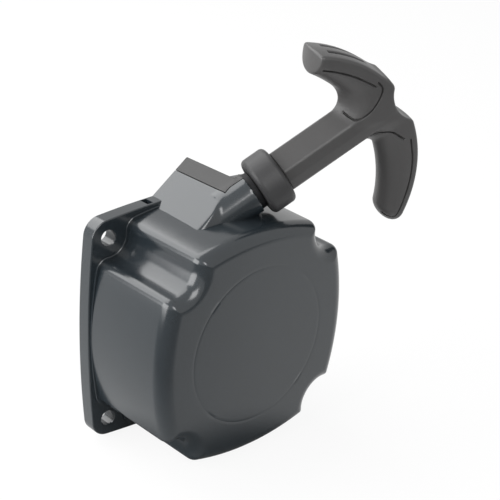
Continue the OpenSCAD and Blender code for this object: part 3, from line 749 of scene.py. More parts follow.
@dataclass
class Cover:
    """The moulded cover without its outlet: flange, bowed body with corner notches, and hollow."""

    bolt: float = record_mount("flange_bolts")["dims"]["spacing_x_mm"] / 2
    hole_r: float = record_mount("flange_bolts")["dims"]["hole_r_mm"]
    hole_edge: float = 0.3
    hole_sides: int = 48
    flange_t: float = 6.4
    flange_corner_r: float = 7.5
    flange_bow: float = 2.0
    flange_edge: float = 0.5
    body_set: float = 0.9
    body_draft: float = 0.6
    side_r: float = 106.0
    notch_r: float = 9.0
    corner_r: float = 4.0
    least_corner: float = 0.6
    body_depth: float = 50.3
    front_edge_r: float = 6.0
    wall: float = 2.4
    front_wall: float = 4.0
    plinth_w: float = 1.5
    plinth_h: float = 1.0
    plinth_side: float = 0.15
    plinth_round: float = 60.0
    ring_r: float = 33.0
    ring_w: float = 0.7
    ring_deep: float = 0.1
    slot_x: float = -19.5
    slot_w: float = 2.7
    slot_l: float = 4.6
    slot_back: float = 0.9
    slot_deep: float = 3.2
    post_r: float = 6.0
    boss_wall: float = 3.0
    boss_h: float = 3.0
    socket_deep: float = 1.6
    inner_edge: float = 0.6
    side_steps: int = 18
    round_steps: int = 10
    notch_steps: int = 24
    edge_steps: int = 14
    rim_steps: int = 4

    def __post_init__(self) -> None:
        """Works out the sizes that follow from the driving ones."""
        self.flange_half = self.bolt + self.flange_corner_r + self.flange_bow
        self.body_half = self.flange_half - self.body_set
        self.cavity_r = self.bolt * math.sqrt(2) - self.notch_r - self.body_draft - self.wall
        self.cavity_z = self.body_depth - self.front_wall

    def _spread(self, half: list[Flat], middle: list[Flat]) -> list[Flat]:
        """Mirrors one eighth of an outline about the diagonal, and turns it round the four sides.

        Args:
            half: points from the middle of the right side to the start of the corner.
            middle: points across the diagonal.

        Returns:
            The closed outline.
        """
        back = [(y, x) for x, y in reversed(half)][:-1]
        quarter = [*half, *middle, *back]
        turns = [(1, 0), (0, 1), (-1, 0), (0, -1)]
        return [(x * c - y * s, x * s + y * c) for c, s in turns for x, y in quarter]

    def notched(self, half_w: float, side_r: float, notch_r: float, corner_r: float) -> list[Flat]:
        """Bowed square with a notch round each bolt.

        Args:
            half_w: half width at the middle of a side.
            side_r: radius of the bowed sides.
            notch_r: radius of the notches.
            corner_r: rounding beside the notches.

        Returns:
            The closed outline.
        """
        bolt = Vector((self.bolt, self.bolt))
        centre = Vector((half_w - side_r, 0))
        reach, near = side_r - corner_r, notch_r + corner_r
        line = bolt - centre
        gap = line.length
        along = (reach ** 2 - near ** 2 + gap ** 2) / (2 * gap)
        off = math.sqrt(reach ** 2 - along ** 2)
        unit = line / gap
        bend = centre + along * unit + off * Vector((unit.y, -unit.x))
        turn = math.degrees(math.atan2(bend.y - centre.y, bend.x - centre.x))
        rise = math.degrees(math.atan2(bolt.y - bend.y, bolt.x - bend.x))
        half = arc(centre, side_r, 0, turn, self.side_steps, False)
        half += arc(bend, corner_r, turn, rise, self.round_steps, False)
        return self._spread(half, arc(bolt, notch_r, rise + 180, 270 - rise, self.notch_steps, True))

    def body_outline(self, inset: float) -> list[Flat]:
        """Outline of the body, drawn in by an inset."""
        corner = max(self.corner_r - inset, self.least_corner)
        return self.notched(self.body_half - inset, self.side_r - inset, self.notch_r + inset, corner)

    def plinth_outline(self, inset: float) -> list[Flat]:
        """Outline of the step round the foot of the body, drawn in by an inset."""
        return self.notched(self.body_half + self.plinth_side - inset, self.side_r + self.plinth_round,
                            self.notch_r - self.plinth_w + inset, self.corner_r + self.plinth_w)

    def flange_outline(self, inset: float) -> list[Flat]:
        """Outline of the flange.

        Args:
            inset: how far it is drawn in.

        Returns:
            The closed outline.
        """
        bow = self.flange_corner_r + self.flange_bow
        big = (self.bolt ** 2 + bow ** 2 - self.flange_corner_r ** 2) / (2 * self.flange_bow)
        centre = (self.bolt + bow - big, 0.0)
        turn = math.degrees(math.atan2(self.bolt, self.bolt - centre[0]))
        side = arc(centre, big - inset, 0, turn, self.side_steps, False)
        steps = 2 * self.round_steps + self.notch_steps
        corner = arc((self.bolt, self.bolt), self.flange_corner_r - inset, turn, 90 - turn, steps, True)
        return self._spread(side, corner)

    def circle(self, radius: float) -> list[Flat]:
        """A circle whose points lie at the same angles as those of the flange."""
        turns = [math.atan2(y, x) for x, y in self.flange_outline(0)]
        return [(radius * math.cos(a), radius * math.sin(a)) for a in turns]

    def _front_rings(self) -> list[tuple[list[Flat], float]]:
        """Outlines from the middle of the front face back to the foot of the body.

        Returns:
            Each outline with its depth.
        """
        top, floor = self.body_depth, self.body_depth - self.ring_deep
        lip = self.ring_w / 2
        rings = [(self.circle(self.ring_r - lip - SPARE), top), (self.circle(self.ring_r - lip), top),
                 (self.circle(self.ring_r - lip / 2), floor), (self.circle(self.ring_r + lip / 2), floor),
                 (self.circle(self.ring_r + lip), top), (self.circle(self.ring_r + lip + SPARE), top)]
        for i in range(self.edge_steps + 1):
            t = math.pi / 2 * (1 - i / self.edge_steps)
            inset = self.body_draft + self.front_edge_r * (1 - math.cos(t))
            rings.append((self.body_outline(inset), top - self.front_edge_r * (1 - math.sin(t))))
        foot = self.flange_t + self.plinth_h
        return [*rings, (self.body_outline(0), foot)]

    def _flange_rings(self) -> list[tuple[list[Flat], float]]:
        """Outlines from the step at the foot round the flange to its back face.

        Returns:
            Each outline with its depth.
        """
        edge = self.flange_edge
        foot = self.flange_t + self.plinth_h
        rings = [(self.plinth_outline(self.plinth_side), foot),
                 (self.plinth_outline(0), foot - self.plinth_side), (self.plinth_outline(0), self.flange_t)]
        quarter = [math.pi / 2 * i / self.rim_steps for i in range(self.rim_steps + 1)]
        rings += [(self.flange_outline(edge * (1 - math.sin(t))), self.flange_t - edge * (1 - math.cos(t)))
                  for t in quarter]
        rings += [(self.flange_outline(edge * (1 - math.cos(t))), edge * (1 - math.sin(t))) for t in quarter]
        return rings

    def _hollow_rings(self) -> list[tuple[list[Flat], float]]:
        """Circles from the mouth of the cavity to the floor of the post's socket.

        Returns:
            Each outline with its depth.
        """
        edge = self.inner_edge
        boss = self.post_r + self.boss_wall
        top = self.cavity_z - self.boss_h
        rows = [(self.cavity_r + edge, 0), (self.cavity_r, edge), (self.cavity_r, self.cavity_z - edge),
                (self.cavity_r - edge, self.cavity_z), (boss, self.cavity_z), (boss, top + edge / 2),
                (boss - edge / 2, top), (self.post_r, top), (self.post_r, self.cavity_z + self.socket_deep)]
        return [(self.circle(r), z) for r, z in rows]

    def shell(self) -> bpy.types.Object:
        """The cover without its outlet, bored for the bolts.

        Returns:
            The new object.
        """
        rows = [*self._front_rings(), *self._flange_rings(), *self._hollow_rings()]
        cover = front_loft("cover_shell", rows)
        for sx in (-1, 1):
            for sy in (-1, 1):
                combine(cover, self._bolt_tool(sx * self.bolt, sy * self.bolt), Cut.TAKE)
        near = self.slot_back + self.slot_l
        low = from_front(self.slot_x - self.slot_w / 2, self.flange_half - self.slot_deep, near)
        high = from_front(self.slot_x + self.slot_w / 2, self.flange_half + SPARE, self.slot_back)
        combine(cover, block("slot_tool", low, high), Cut.TAKE)
        return cover

    def cavity_room(self) -> bpy.types.Object:
        """The room inside the middle of the wall, which the outlet keeps clear of."""
        ring = self.circle(self.cavity_r + self.wall / 2)
        return front_loft("cavity_room", [(ring, self.cavity_z), (ring, -SPARE)])

    def _bolt_tool(self, x: float, y: float) -> bpy.types.Object:
        """The shape of a bolt hole with eased rims.

        Args:
            x: place of the hole to the right.
            y: its height.

        Returns:
            The new object.
        """
        wide, edge = self.hole_r + self.hole_edge, self.hole_edge
        rows = [(wide + edge, -edge), (wide, 0), (self.hole_r, edge), (self.hole_r, self.flange_t - edge),
                (wide, self.flange_t), (wide + edge, self.flange_t + edge)]
        return front_loft("bolt_tool", [(arc((x, y), r, 0, 360, self.hole_sides, False), z) for r, z in rows])


def block(name: str, one: Vector, two: Vector, turn: Matrix | None = None) -> bpy.types.Object:
    """A box between two corners, used as a tool.

    Args:
        name: name of the new object.
        one: a corner in millimetres.
        two: the opposite corner.
        turn: how the box is placed in the frame, in millimetres.

    Returns:
        The new object.
    """
    bm = bmesh.new()
    bmesh.ops.create_cube(bm, size=1)
    size = Vector(abs(a - b) for a, b in zip(one, two))
    bmesh.ops.scale(bm, vec=size, verts=bm.verts)
    bmesh.ops.translate(bm, vec=(one + two) / 2, verts=bm.verts)
    if turn:
        bm.transform(turn)
    bm.transform(Matrix.Scale(MM, 4))
    bmesh.ops.recalc_face_normals(bm, faces=bm.faces)
    return link_bmesh(name, bm)


def dress(piece: bpy.types.Object, finish: Finish, body: str | None, slot: str, *nodes: str) -> None:
    """Gives a new piece its finish, and ties it to the frame.

    Args:
        piece: the new piece.
        finish: its finish.
        body: the body that it rides on, or None where it bends between two.
        slot: the record's material slot; not used.
        *nodes: the solids that it stands for.
    """
    piece.data.materials.clear()
    piece.data.materials.append(finish.material())
    if body:
        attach(piece, body)
    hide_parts(*nodes)
    LOG.info("%s is finished in %s", piece.name, finish.name)


def round_max(one: np.ndarray, two: np.ndarray, radius: float | np.ndarray) -> np.ndarray:
    """Keeps what lies in both of two fields, with a rounded edge.

    Args:
        one: signed distance to the first shape.
        two: signed distance to the second.
        radius: rounding of the edge between them.

    Returns:
        Signed distance to what both hold.
    """
    near = np.hypot(np.maximum(one + radius, 0), np.maximum(two + radius, 0))
    return np.minimum(np.maximum(one, two), -radius) + near


def round_min(one: np.ndarray, two: np.ndarray, radius: float | np.ndarray) -> np.ndarray:
    """Joins two fields with a fillet of a given radius between them."""
    return -round_max(-one, -two, radius)


def ease(value: np.ndarray, low: float, high: float) -> np.ndarray:
    """Smooth step from 0 at the low end to 1 at the high end."""
    share = np.clip((value - low) / (high - low), 0, 1)
    return share * share * (3 - 2 * share)


@dataclass
class FieldMesh:
    """A mesh of the surface where a field of signed distances is nought."""

    field: Callable[[np.ndarray], np.ndarray]
    low: Place
    high: Place
    step: float
    nudge_parts: int = 20
    least_slope: float = 0.25
    fine_cuts: int = 2

    def _crossings(self, values: np.ndarray) -> tuple[np.ndarray, np.ndarray]:
        """Mean of the places where the surface crosses each cell's edges.

        Args:
            values: the field at the grid's points.

        Returns:
            Which cells the surface crosses, and the places of the crossings in cell units.
        """
        size = tuple(n - 1 for n in values.shape)
        total = np.zeros((*size, 3))
        count = np.zeros(size)

        def corner(offset: tuple[int, int, int]) -> np.ndarray:
            """The field at one corner of every cell."""
            i, j, k = offset
            return values[i:i + size[0], j:j + size[1], k:k + size[2]]

        for axis in range(3):
            others = [n for n in range(3) if n != axis]
            for one in (0, 1):
                for two in (0, 1):
                    start = [0, 0, 0]
                    start[others[0]], start[others[1]] = one, two
                    stop = list(start)
                    stop[axis] = 1
                    a, b = corner(tuple(start)), corner(tuple(stop))
                    cut = (a < 0) != (b < 0)
                    share = np.where(cut, a / np.where(cut, a - b, 1), 0)
                    for n in range(3):
                        total[..., n] += np.where(cut, share if n == axis else start[n], 0)
                    count += cut
        crossed = count > 0
        return crossed, total[crossed] / count[crossed][:, None]

    def _settle(self, points: np.ndarray, rounds: int = 3) -> np.ndarray:
        """Moves points onto the surface along the field's slope.

        Args:
            points: places near the surface, one a row.
            rounds: how often they are moved.

        Returns:
            The moved places.
        """
        nudge = self.step / self.nudge_parts
        for _ in range(rounds):
            value = self.field(points)
            slope = np.stack([(self.field(points + nudge * e) - self.field(points - nudge * e)) / (2 * nudge)
                              for e in np.eye(3)], axis=1)
            size = np.maximum((slope ** 2).sum(1), self.least_slope)
            shift = np.clip(value / size, -self.step / 2, self.step / 2)
            points = points - shift[:, None] * slope
        return points

    def _skin(self) -> tuple[np.ndarray, np.ndarray]:
        """Samples the field on a grid and skins the surface in it.

        Returns:
            Points on the surface, and the quads between them.
        """
        axes = [np.arange(a, b, self.step) for a, b in zip(self.low, self.high)]
        grid = np.stack(np.meshgrid(*axes, indexing="ij"), axis=-1)
        values = self.field(grid.reshape(-1, 3)).reshape(grid.shape[:3])
        crossed, inside = self._crossings(values)
        number = np.full(crossed.shape, -1)
        number[crossed] = np.arange(len(inside))
        quads = []
        for axis in range(3):
            low = np.moveaxis(values, axis, 0)
            cells = np.moveaxis(number, axis, 0)
            a, b = low[:-1, 1:-1, 1:-1], low[1:, 1:-1, 1:-1]
            cut = (a < 0) != (b < 0)
            around = np.stack([cells[:, :-1, :-1][cut], cells[:, 1:, :-1][cut],
                               cells[:, 1:, 1:][cut], cells[:, :-1, 1:][cut]], axis=1)
            quads.append(np.where((a < 0)[cut][:, None] == (axis != 1), around, around[:, ::-1]))
        points = np.array(self.low) + self.step * (np.argwhere(crossed) + inside)
        return self._settle(points), np.concatenate(quads)

    def build(self, name: str, place: Matrix,
              fine: Callable[[np.ndarray], np.ndarray] | None = None) -> bpy.types.Object:
        """Makes the mesh and places it in the frame.

        Args:
            name: name of the new object.
            place: how the field's axes lie in the frame, in millimetres.
            fine: tells which points lie where the mesh is refined, if any do.

        Returns:
            The new object.
        """
        points, quads = self._skin()
        mesh = bpy.data.meshes.new(name)
        mesh.from_pydata(points.tolist(), [], quads.tolist())
        bm = bmesh.new()
        bm.from_mesh(mesh)
        if fine:
            marked = fine(points)
            edges = [e for e in bm.edges if marked[e.verts[0].index] and marked[e.verts[1].index]]
            bmesh.ops.subdivide_edges(bm, edges=edges, cuts=self.fine_cuts, use_grid_fill=True)
            points = self._settle(np.array([v.co for v in bm.verts]))
        for vert, point in zip(bm.verts, points):
            vert.co = place @ Vector(point) * MM
        bm.to_mesh(mesh)
        bm.free()
        mesh.shade_smooth()
        return link(name, mesh)


@dataclass
class Outlet:
    """The ramped block and tube that lead the rope out, and the cap on top of them."""

    cover: Cover
    seat_x: float = 10.8
    seat_y: float = 32.8
    seat_rise: float = 8.6
    nozzle_r: float = 8.6
    nozzle_end: float = -2.4
    nozzle_start: float = -32.0
    ramp_slope: float = 37.0
    ramp_x: float = -15.7
    ramp_l: float = 15.9
    ramp_set: float = 0.3
    ramp_sunk: float = 5.0
    block_deep: float = 17.0
    block_front: float = 32.4
    front_round: float = 3.0
    ramp_round: float = 2.2
    edge_round: float = 0.45
    cap_w: float = 7.0
    cap_t: float = 4.4
    cap_front: float = 30.0
    cap_tube_l: float = 9.0
    seam: float = 0.4
    tube_trim: float = 2.0
    tube_fillet: float = 7.0
    fillet_run: float = 18.0
    turn_gap: float = 2.0
    open_run: float = 6.0
    block_rise: float = 6.0
    crease: float = 32.0
    step: float = 0.53
    eyelet_l: float = 11.0
    eyelet_r: float = 5.2
    bore_sides: int = 96
    end_room: float = 8.0
    tube_room: float = 16.0
    reach: float = 60.0

    def __post_init__(self) -> None:
        """Works out the frames of the pull and of the ramp."""
        self.pull = Vector(record_joint("handle_pull")["axis"]).normalized()
        self.seat = Vector((self.seat_x, -self.seat_y, self.cover.body_half + self.seat_rise))
        lift = math.asin(self.pull.z / math.hypot(self.pull.x, self.pull.z))
        tilt = math.asin(-self.pull.y)
        turn = Matrix.Rotation(math.pi / 2 - lift, 4, "Y") @ Matrix.Rotation(tilt, 4, "X")
        self.along_pull = Matrix.Translation(self.seat) @ turn
        foot = Vector((self.ramp_x, 0, self.cover.body_half - self.ramp_set))
        stand = Matrix.Rotation(math.pi / 2, 4, "X") @ Matrix.Rotation(math.radians(self.ramp_slope), 4, "Z")
        self.on_ramp = Matrix.Translation(foot) @ stand

    def field(self, points: np.ndarray) -> np.ndarray:
        """Signed distance to the block and tube in one, in the ramp's axes.

        Args:
            points: places in millimetres, one a row.

        Returns:
            The distance at each place.
        """
        x, y, z = points.T
        end = self.ramp_l - self.tube_trim
        turn = end - self.turn_gap
        near, past = ease(x, end - self.fillet_run, turn), ease(x, turn, turn + self.open_run)
        made = round_max(y - self.block_rise * (1 - near), z - self.block_front, self.front_round)
        made = round_max(made, x - self.ramp_l - self.cap_w, self.edge_round)
        to_ramp = self.on_ramp.inverted() @ self.along_pull
        start, run = np.array(to_ramp.translation), np.array(to_ramp.to_3x3().col[2])
        along = (points - start) @ run
        across = np.linalg.norm(points - start - along[:, None] * run, axis=1)
        rod = round_max(across - self.nozzle_r, along - self.nozzle_end, self.edge_round)
        rod = np.maximum(rod, self.nozzle_start - along)
        made = round_min(made, rod, self.tube_fillet + (self.edge_round - self.tube_fillet) * near)
        made = round_max(made, y - self.reach * past, self.ramp_round * (1 - near))
        return np.maximum(made, np.maximum(-self.ramp_sunk - x, np.maximum(-self.block_deep - y, -z)))

    def solid(self, name: str) -> bpy.types.Object:
        """Block and tube in one, before the cap is parted from them.

        Args:
            name: name of the new object.

        Returns:
            The new object.
        """
        low = (-self.ramp_sunk - SPARE, -self.block_deep - SPARE, -SPARE)
        high = (self.ramp_l + self.cap_w + self.end_room, self.nozzle_r, self.block_front + self.tube_room)
        return FieldMesh(self.field, low, high, self.step).build(name, self.on_ramp)

    def cap_room(self, grow: float) -> bpy.types.Object:
        """The room that the cap takes, drawn out by a gap.

        Args:
            grow: how far it is drawn out.

        Returns:
            The new object.
        """
        room = block("cap_room", Vector((self.ramp_l - grow, -self.cap_t - grow, -self.reach)),
                     Vector((self.reach, self.reach, self.cap_front + grow)), self.on_ramp)
        inner = -self.nozzle_r + self.cap_t + grow
        strip = block("strip_room", Vector((-self.reach, -grow, self.nozzle_end - self.cap_tube_l - grow)),
                      Vector((inner, self.reach, self.reach)), self.along_pull)
        combine(room, strip, Cut.JOIN)
        return room

    def rope_way(self) -> bpy.types.Object:
        """The bore that the eyelet sits in.

        Returns:
            The new object.
        """
        ring = arc((0, 0), self.eyelet_r, 0, 360, self.bore_sides, False)
        ends = (self.nozzle_end - self.eyelet_l, SPARE)
        return loft("rope_way", [[self.along_pull @ Vector((x, y, z)) for x, y in ring] for z in ends])

    def build(self) -> None:
        """Joins the outlet to the cover, parts the cap from it, and dresses both."""
        shell = self.cover.shell()
        outlet = self.solid("outlet_solid")
        cap = self.solid("cap_strip")
        combine(outlet, self.cap_room(self.seam), Cut.TAKE)
        combine(outlet, self.cover.cavity_room(), Cut.TAKE)
        combine(shell, outlet, Cut.JOIN)
        combine(cap, self.cap_room(0.0), Cut.KEEP)
        for piece in (shell, cap):
            combine(piece, self.rope_way(), Cut.TAKE)
            shade(piece, self.crease)
        dress(shell, Finishes.COVER, "housing", "housing", "housing")
        dress(cap, Finishes.CAP, "housing", "cap", "outlet_cap")


@dataclass
class Grip:
    """The moulded T handle: curved arms with flat backs and rounded finger sides, on a ridged stem."""

    outlet: Outlet
    roll: float = 6.0
    collar_l: float = 10.8
    stem_gap: float = 0.1
    stem_half: Flat = (10.0, 8.5)
    stem_corner: Flat = (4.6, 7.8)
    stem_round: float = 0.6
    head_z: float = 66.1
    head_shift: float = 4.5
    back_r: float = 53.2
    arm_turn: float = 54.5
    lower_turn: float = 59.0
    arm_w: float = 16.4
    tip_w: float = 8.0
    upper_tip_w: float = 9.4
    tip_power: float = 2.2
    arm_t: float = 17.2
    tip_t: float = 17.0
    side_flat: float = 0.3
    crown: float = 0.8
    outer_round: float = 1.4
    tip_round: float = 1.1
    tip_dome: float = 1.6
    lower_round: float = 4.5
    upper_fillet: float = 9.0
    lower_fillet: float = 4.0
    fillet_turn: float = 3.0
    web_round: float = 0.8
    scoop_x: float = 0.5
    scoop_deep: float = 4.9
    scoop_r: float = 13.0
    scoop_edge: float = 0.9
    slot_y: float = 3.2
    slot_w: float = 1.6
    slot_deep: float = 3.6
    slot_from: float = 6.0
    slot_l: float = 17.0
    pocket_r: float = 4.7
    pocket_floor: float = 51.5
    bore_r: float = 2.4
    line_half: float = 0.44
    line_deep: float = 1.1
    line_near: float = 0.9
    line_from_y: float = 3.0
    line_steps: int = 4
    far_off: float = 100.0
    least_slope: float = 1e-6
    tip_room: float = 3.0
    head_room: float = 2.0
    step: float = 0.44

    def __post_init__(self) -> None:
        """Works out the handle's place, and the lines round the finger panels."""
        self.place = self.outlet.along_pull @ Matrix.Rotation(math.radians(-self.roll), 4, "Z")
        rows = [
            [(-32, 42.5), (-28, 47), (-22, 52), (-16.5, 55.5), (-13, 57.5)],
            [(-14, 59), (-11.5, 59.5), (-9.5, 58.5), (-7, 55.5), (-5, 50.5), (-5.5, 44.5), (-12.5, 42),
             (-13, 42.5)],
            [(5, 47), (9, 55), (13, 57.5), (15, 58.5)],
            [(17, 60.8), (25.5, 58), (33, 53.7), (39.7, 48), (44.5, 42.6), (45, 40), (42.8, 38)],
        ]
        self.lines = [smooth_path([Vector(p) for p in row], self.line_steps) for row in rows]

    def _arms(self, x: np.ndarray, y: np.ndarray, z: np.ndarray) -> np.ndarray:
        """Signed distance to the curved arms, with their slots.

        Args:
            x: places across the stem, along the arms.
            y: places along the grip's thickness.
            z: places along the pull.

        Returns:
            The distance at each place.
        """
        dx, dz = x - self.head_shift, z - self.head_z + self.back_r
        angle = np.arctan2(dx, dz)
        turn = np.radians(np.where(angle > 0, self.lower_turn, self.arm_turn))
        share = np.clip(np.abs(angle) / turn, 0, 1)
        tip_w = np.where(angle > 0, self.tip_w, self.upper_tip_w)
        wide = self.arm_w + (tip_w - self.arm_w) * share ** self.tip_power
        half_t = (self.arm_t + (self.tip_t - self.arm_t) * share) / 2
        across = (y / half_t) ** 2
        rise = np.hypot(dx, dz) - self.back_r
        flat = self.side_flat * wide
        deep = (rise + flat) / (wide - flat)
        near = np.sqrt(deep ** 2 + across)
        slope = np.sqrt((deep / (wide - flat)) ** 2 + across / half_t ** 2)
        finger = near * (near - 1) / np.maximum(slope, self.least_slope)
        side = np.where(rise > -flat, np.abs(y) - half_t, finger)
        arms = round_max(rise + self.crown * across, side, self.outer_round)
        tip = (np.abs(angle) - turn) * self.back_r + self.tip_dome * across
        arms = round_max(arms, tip, np.where(angle > 0, self.lower_round, self.tip_round))
        middle = math.radians(self.arm_turn) * self.back_r - self.slot_from - self.slot_l / 2
        slot = np.maximum(np.abs(np.abs(y) - self.slot_y) - self.slot_w / 2,
                          np.abs(angle * self.back_r + middle) - self.slot_l / 2)
        return round_max(arms, -np.maximum(slot, -self.slot_deep - rise), self.tip_round / 2)

    def _stem(self, x: np.ndarray, y: np.ndarray, z: np.ndarray) -> np.ndarray:
        """Signed distance to the ridged stem.

        Args:
            x: places across the stem, along the arms.
            y: places along the grip's thickness.
            z: places along the pull.

        Returns:
            The distance at each place.
        """
        (hx, hy), (cx, cy) = self.stem_half, self.stem_corner
        side = Vector((cy, hx - cx)).normalized()
        face = Vector((hy - cy, cx)).normalized()
        ax, ay = np.abs(x), np.abs(y)
        stem = round_max(side.x * ax + side.y * ay - side.x * hx, face.x * ax + face.y * ay - face.y * hy,
                         self.stem_round)
        foot = self.collar_l + self.stem_gap - z
        top = z - self.head_z + self.arm_w / 2
        return round_max(np.maximum(stem, top), foot, self.stem_round)

    def line_distance(self, points: np.ndarray) -> np.ndarray:
        """Distance to the nearest panel line, seen along the grip's thickness.

        Args:
            points: places in millimetres, one a row.

        Returns:
            The distance at each place, or far_off near the middle of the thickness.
        """
        flat = points[:, [0, 2]]
        least = np.full(len(points), self.far_off)
        for line in self.lines:
            for a, b in zip(line, line[1:]):
                start, run = np.array(a), np.array(b - a)
                share = np.clip(((flat - start) @ run) / (run @ run), 0, 1)
                least = np.minimum(least, np.linalg.norm(flat - start - share[:, None] * run, axis=1))
        return np.where(np.abs(points[:, 1]) > self.line_from_y, least, self.far_off)

    def field(self, points: np.ndarray) -> np.ndarray:
        """Signed distance to the grip in its own axes.

        Args:
            points: places in millimetres, one a row.

        Returns:
            The distance at each place.
        """
        x, y, z = points.T
        upper = ease(-x, -self.fillet_turn, self.fillet_turn)
        fillet = self.lower_fillet + (self.upper_fillet - self.lower_fillet) * upper
        grip = round_min(self._stem(x, y, z), self._arms(x, y, z), fillet)
        grip = round_max(grip, np.abs(y) - self.arm_t / 2, self.web_round)
        scoop = np.hypot(x - self.scoop_x, z - self.head_z + self.scoop_deep - self.scoop_r) - self.scoop_r
        grip = round_max(grip, -scoop, self.scoop_edge)
        band = np.abs(grip) < 2 * self.line_deep
        share = self.line_distance(points[band]) / self.line_half
        grip[band] += self.line_deep * np.maximum(1 - share ** 2, 0)
        across = np.hypot(x, y)
        pocket = np.maximum(across - self.pocket_r, self.pocket_floor - z)
        return np.maximum(grip, -np.minimum(pocket, across - self.bore_r))

    def build(self) -> None:
        """Makes the grip and ties it to the handle."""
        reach = self.back_r * math.sin(math.radians(self.lower_turn)) + self.tip_room
        low = (self.head_shift - reach, -self.arm_t / 2 - SPARE, self.collar_l - SPARE)
        high = (self.head_shift + reach, self.arm_t / 2 + SPARE, self.head_z + self.head_room)
        skin = FieldMesh(self.field, low, high, self.step)
        grip = skin.build("grip_moulding", self.place, lambda p: self.line_distance(p) < self.line_near)
        dress(grip, Finishes.GRIP, "handle", "grip", "handle_grip")


class Coil:
    """A round wire wound in a spiral, made by one tree of geometry nodes."""

    tree: bpy.types.NodeTree | None = None
    sizes = ("Turns", "Start Radius", "End Radius", "Height", "Wire Radius")
    turn_steps = 64
    wire_sides = 14

    @classmethod
    def _nodes(cls) -> bpy.types.NodeTree:
        """Builds the tree once: spiral, round wire, realized and finished.

        Returns:
            The tree, with an input for each size and for the finish.
        """
        if cls.tree:
            return cls.tree
        tree = bpy.data.node_groups.new("coil", "GeometryNodeTree")
        kit = Sockets(tree)
        for label in cls.sizes:
            tree.interface.new_socket(label, in_out="INPUT", socket_type="NodeSocketFloat")
        tree.interface.new_socket("Finish", in_out="INPUT", socket_type="NodeSocketMaterial")
        tree.interface.new_socket("Geometry", in_out="OUTPUT", socket_type="NodeSocketGeometry")
        given = kit.add("NodeGroupInput").outputs
        spiral = kit.add("GeometryNodeCurveSpiral")
        spiral.inputs["Resolution"].default_value = cls.turn_steps
        for label, socket in zip(cls.sizes, ("Rotations", "Start Radius", "End Radius", "Height")):
            kit.join(given[label], spiral.inputs[socket])
        wire = kit.add("GeometryNodeCurvePrimitiveCircle")
        wire.inputs["Resolution"].default_value = cls.wire_sides
        kit.join(given["Wire Radius"], wire.inputs["Radius"])
        sweep = kit.add("GeometryNodeCurveToMesh")
        sweep.inputs["Fill Caps"].default_value = True
        kit.join(spiral.outputs["Curve"], sweep.inputs["Curve"])
        kit.join(wire.outputs["Curve"], sweep.inputs["Profile Curve"])
        smooth = kit.add("GeometryNodeSetShadeSmooth")
        kit.join(sweep.outputs["Mesh"], smooth.inputs["Geometry"])
        real = kit.add("GeometryNodeRealizeInstances")
        kit.join(smooth.outputs["Geometry"], real.inputs["Geometry"])
        finish = kit.add("GeometryNodeSetMaterial")
        kit.join(real.outputs["Geometry"], finish.inputs["Geometry"])
        kit.join(given["Finish"], finish.inputs["Material"])
        kit.join(finish.outputs["Geometry"], kit.add("NodeGroupOutput").inputs["Geometry"])
        cls.tree = tree
        return tree

    @classmethod
    def build(cls, name: str, sizes: tuple[float, ...], finish: Finish, place: Matrix) -> bpy.types.Object:
        """Makes one coil.

        Args:
            name: name of the new object.
            sizes: turns, then start radius, end radius, height and wire radius in millimetres.
            finish: finish of the wire.
            place: how the coil's axes lie in the frame, in millimetres.

        Returns:
            The new object.
        """
        made = link(name, bpy.data.meshes.new(name))
        modifier = made.modifiers.new("coil", "NODES")
        modifier.node_group = cls._nodes()
        rows = modifier.node_group.interface.items_tree
        sockets = {row.name: row.identifier for row in rows if row.in_out == "INPUT"}
        values = (sizes[0], *(size * MM for size in sizes[1:]))
        for label, value in zip(cls.sizes, values):
            modifier[sockets[label]] = value
        modifier[sockets["Finish"]] = finish.material()
        bpy.context.view_layer.update()
        bake_modifiers(made)
        in_metres = place.copy()
        in_metres.translation *= MM
        made.data.transform(in_metres)
        return made


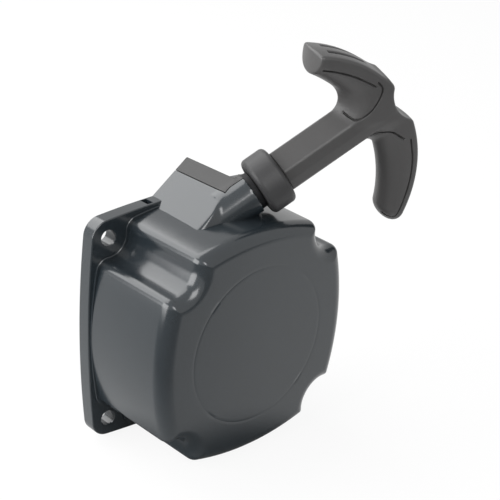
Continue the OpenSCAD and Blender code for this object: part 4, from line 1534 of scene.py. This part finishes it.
@dataclass
class Rope:
    """The starter rope: wound on the reel, and led through the outlet to the handle."""

    outlet: Outlet
    rope_r: float = 1.75
    gap: float = 0.55
    turns: float = 4.25
    plane: float = 27.2
    rim: float = 4.2
    mouth_s: float = -15.0
    knot_s: float = 52.5
    ease_far: float = 6.0
    ease_near: float = 3.0
    bend_steps: int = 8
    run_step: float = 0.5
    blend_from: float = -12.0
    blend_to: float = 3.0
    crease: float = 50.0
    sides: int = 16

    def __post_init__(self) -> None:
        """Works out where the rope leaves the reel."""
        self.out_r = self.outlet.cover.cavity_r - self.rim - self.rope_r
        self.in_r = self.out_r - self.turns * (2 * self.rope_r + self.gap)
        self.mouth = self.at(self.mouth_s)
        far = math.hypot(self.mouth.x, self.mouth.z)
        self.leave = math.atan2(self.mouth.z, self.mouth.x) + math.acos(self.out_r / far)

    def at(self, along: float) -> Vector:
        """A place on the pull's line, at a distance from the handle's seat, in millimetres."""
        return self.outlet.seat + along * self.outlet.pull

    def build(self) -> None:
        """Winds the rope on the reel and leads it to the handle."""
        turn = Matrix.Rotation(math.pi / 2, 4, "X") @ Matrix.Translation((0, 0, self.plane))
        turn = turn @ Matrix.Rotation(self.leave, 4, "Z")
        sizes = (self.turns, self.out_r, self.in_r, 0.0, self.rope_r)
        wound = Coil.build("rope_coil", sizes, Finishes.ROPE, turn)
        dress(wound, Finishes.ROPE, "reel", "rope", "rope_winding")
        start = from_front(self.out_r * math.cos(self.leave), self.out_r * math.sin(self.leave), self.plane)
        ahead = (self.mouth - start).normalized()
        start = start + 2 * self.rope_r * ahead
        low = self.mouth_s + self.ease_far
        bend = smooth_path([start, start + self.ease_near * ahead, self.mouth - self.ease_far * ahead,
                            self.at(self.mouth_s + SPARE), self.at(low)], self.bend_steps)
        steps = int((self.knot_s - low) / self.run_step)
        run = [self.at(low + self.run_step * i) for i in range(1, steps)]
        lead = tube("rope_run", bend + run, self.rope_r, self.sides)
        shade(lead, self.crease)
        dress(lead, Finishes.ROPE, None, "rope", "rope_lead")
        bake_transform(lead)


@dataclass
class Drag:
    """The conical wire spring that drags on the guide plate."""

    turns: float = 2.0
    wire_r: float = 0.5
    inner: float = 5.1

    def build(self) -> None:
        """Winds the spring in the room of its solid."""
        low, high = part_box("friction_spring")
        back, front = -high.y / MM + self.wire_r, -low.y / MM - self.wire_r
        outer = high.x / MM - self.wire_r
        turn = Matrix.Rotation(math.pi / 2, 4, "X") @ Matrix.Translation((0, 0, back))
        spring = Coil.build("drag_spring", (self.turns, self.inner, outer, front - back, self.wire_r),
                            Finishes.SPRING, turn)
        dress(spring, Finishes.SPRING, "housing", "spring_steel", "friction_spring")


NODE_FINISHES = {
    "rope_eyelet": Finishes.EYELET,
    "reel_post": Finishes.STEEL,
    "spring_case": Finishes.CASE,
    "rewind_spring": Finishes.SPRING,
    "centre_screw": Finishes.ZINC,
    "screw_washer": Finishes.ZINC,
    "reel": Finishes.REEL,
    "reel_bush": Finishes.BRONZE,
    "rope_anchor": Finishes.ROPE,
    "pawl_pins": Finishes.STEEL,
    "pawl_a": Finishes.STEEL,
    "pawl_b": Finishes.STEEL,
    "pawl_guide": Finishes.ZINC,
    "handle_collar": Finishes.COLLAR,
    "knot_washer": Finishes.ZINC,
    "rope_knot": Finishes.ROPE,
}


def dress_solids() -> None:
    """Gives every solid that stays in view its finish."""
    for name, finish in NODE_FINISHES.items():
        node = frame["nodes"][name]
        node.data.materials.clear()
        node.data.materials.append(finish.material())
        LOG.info("%s is finished in %s", name, finish.name)


def main() -> None:
    """Builds the studio and the starter's pieces in order."""
    logging.basicConfig(level=logging.INFO, format="%(name)s: %(message)s")
    Studio().build()
    dress_solids()
    outlet = Outlet(Cover())
    outlet.build()
    Grip(outlet).build()
    Rope(outlet).build()
    Drag().build()


if __name__ == "__main__":
    main()
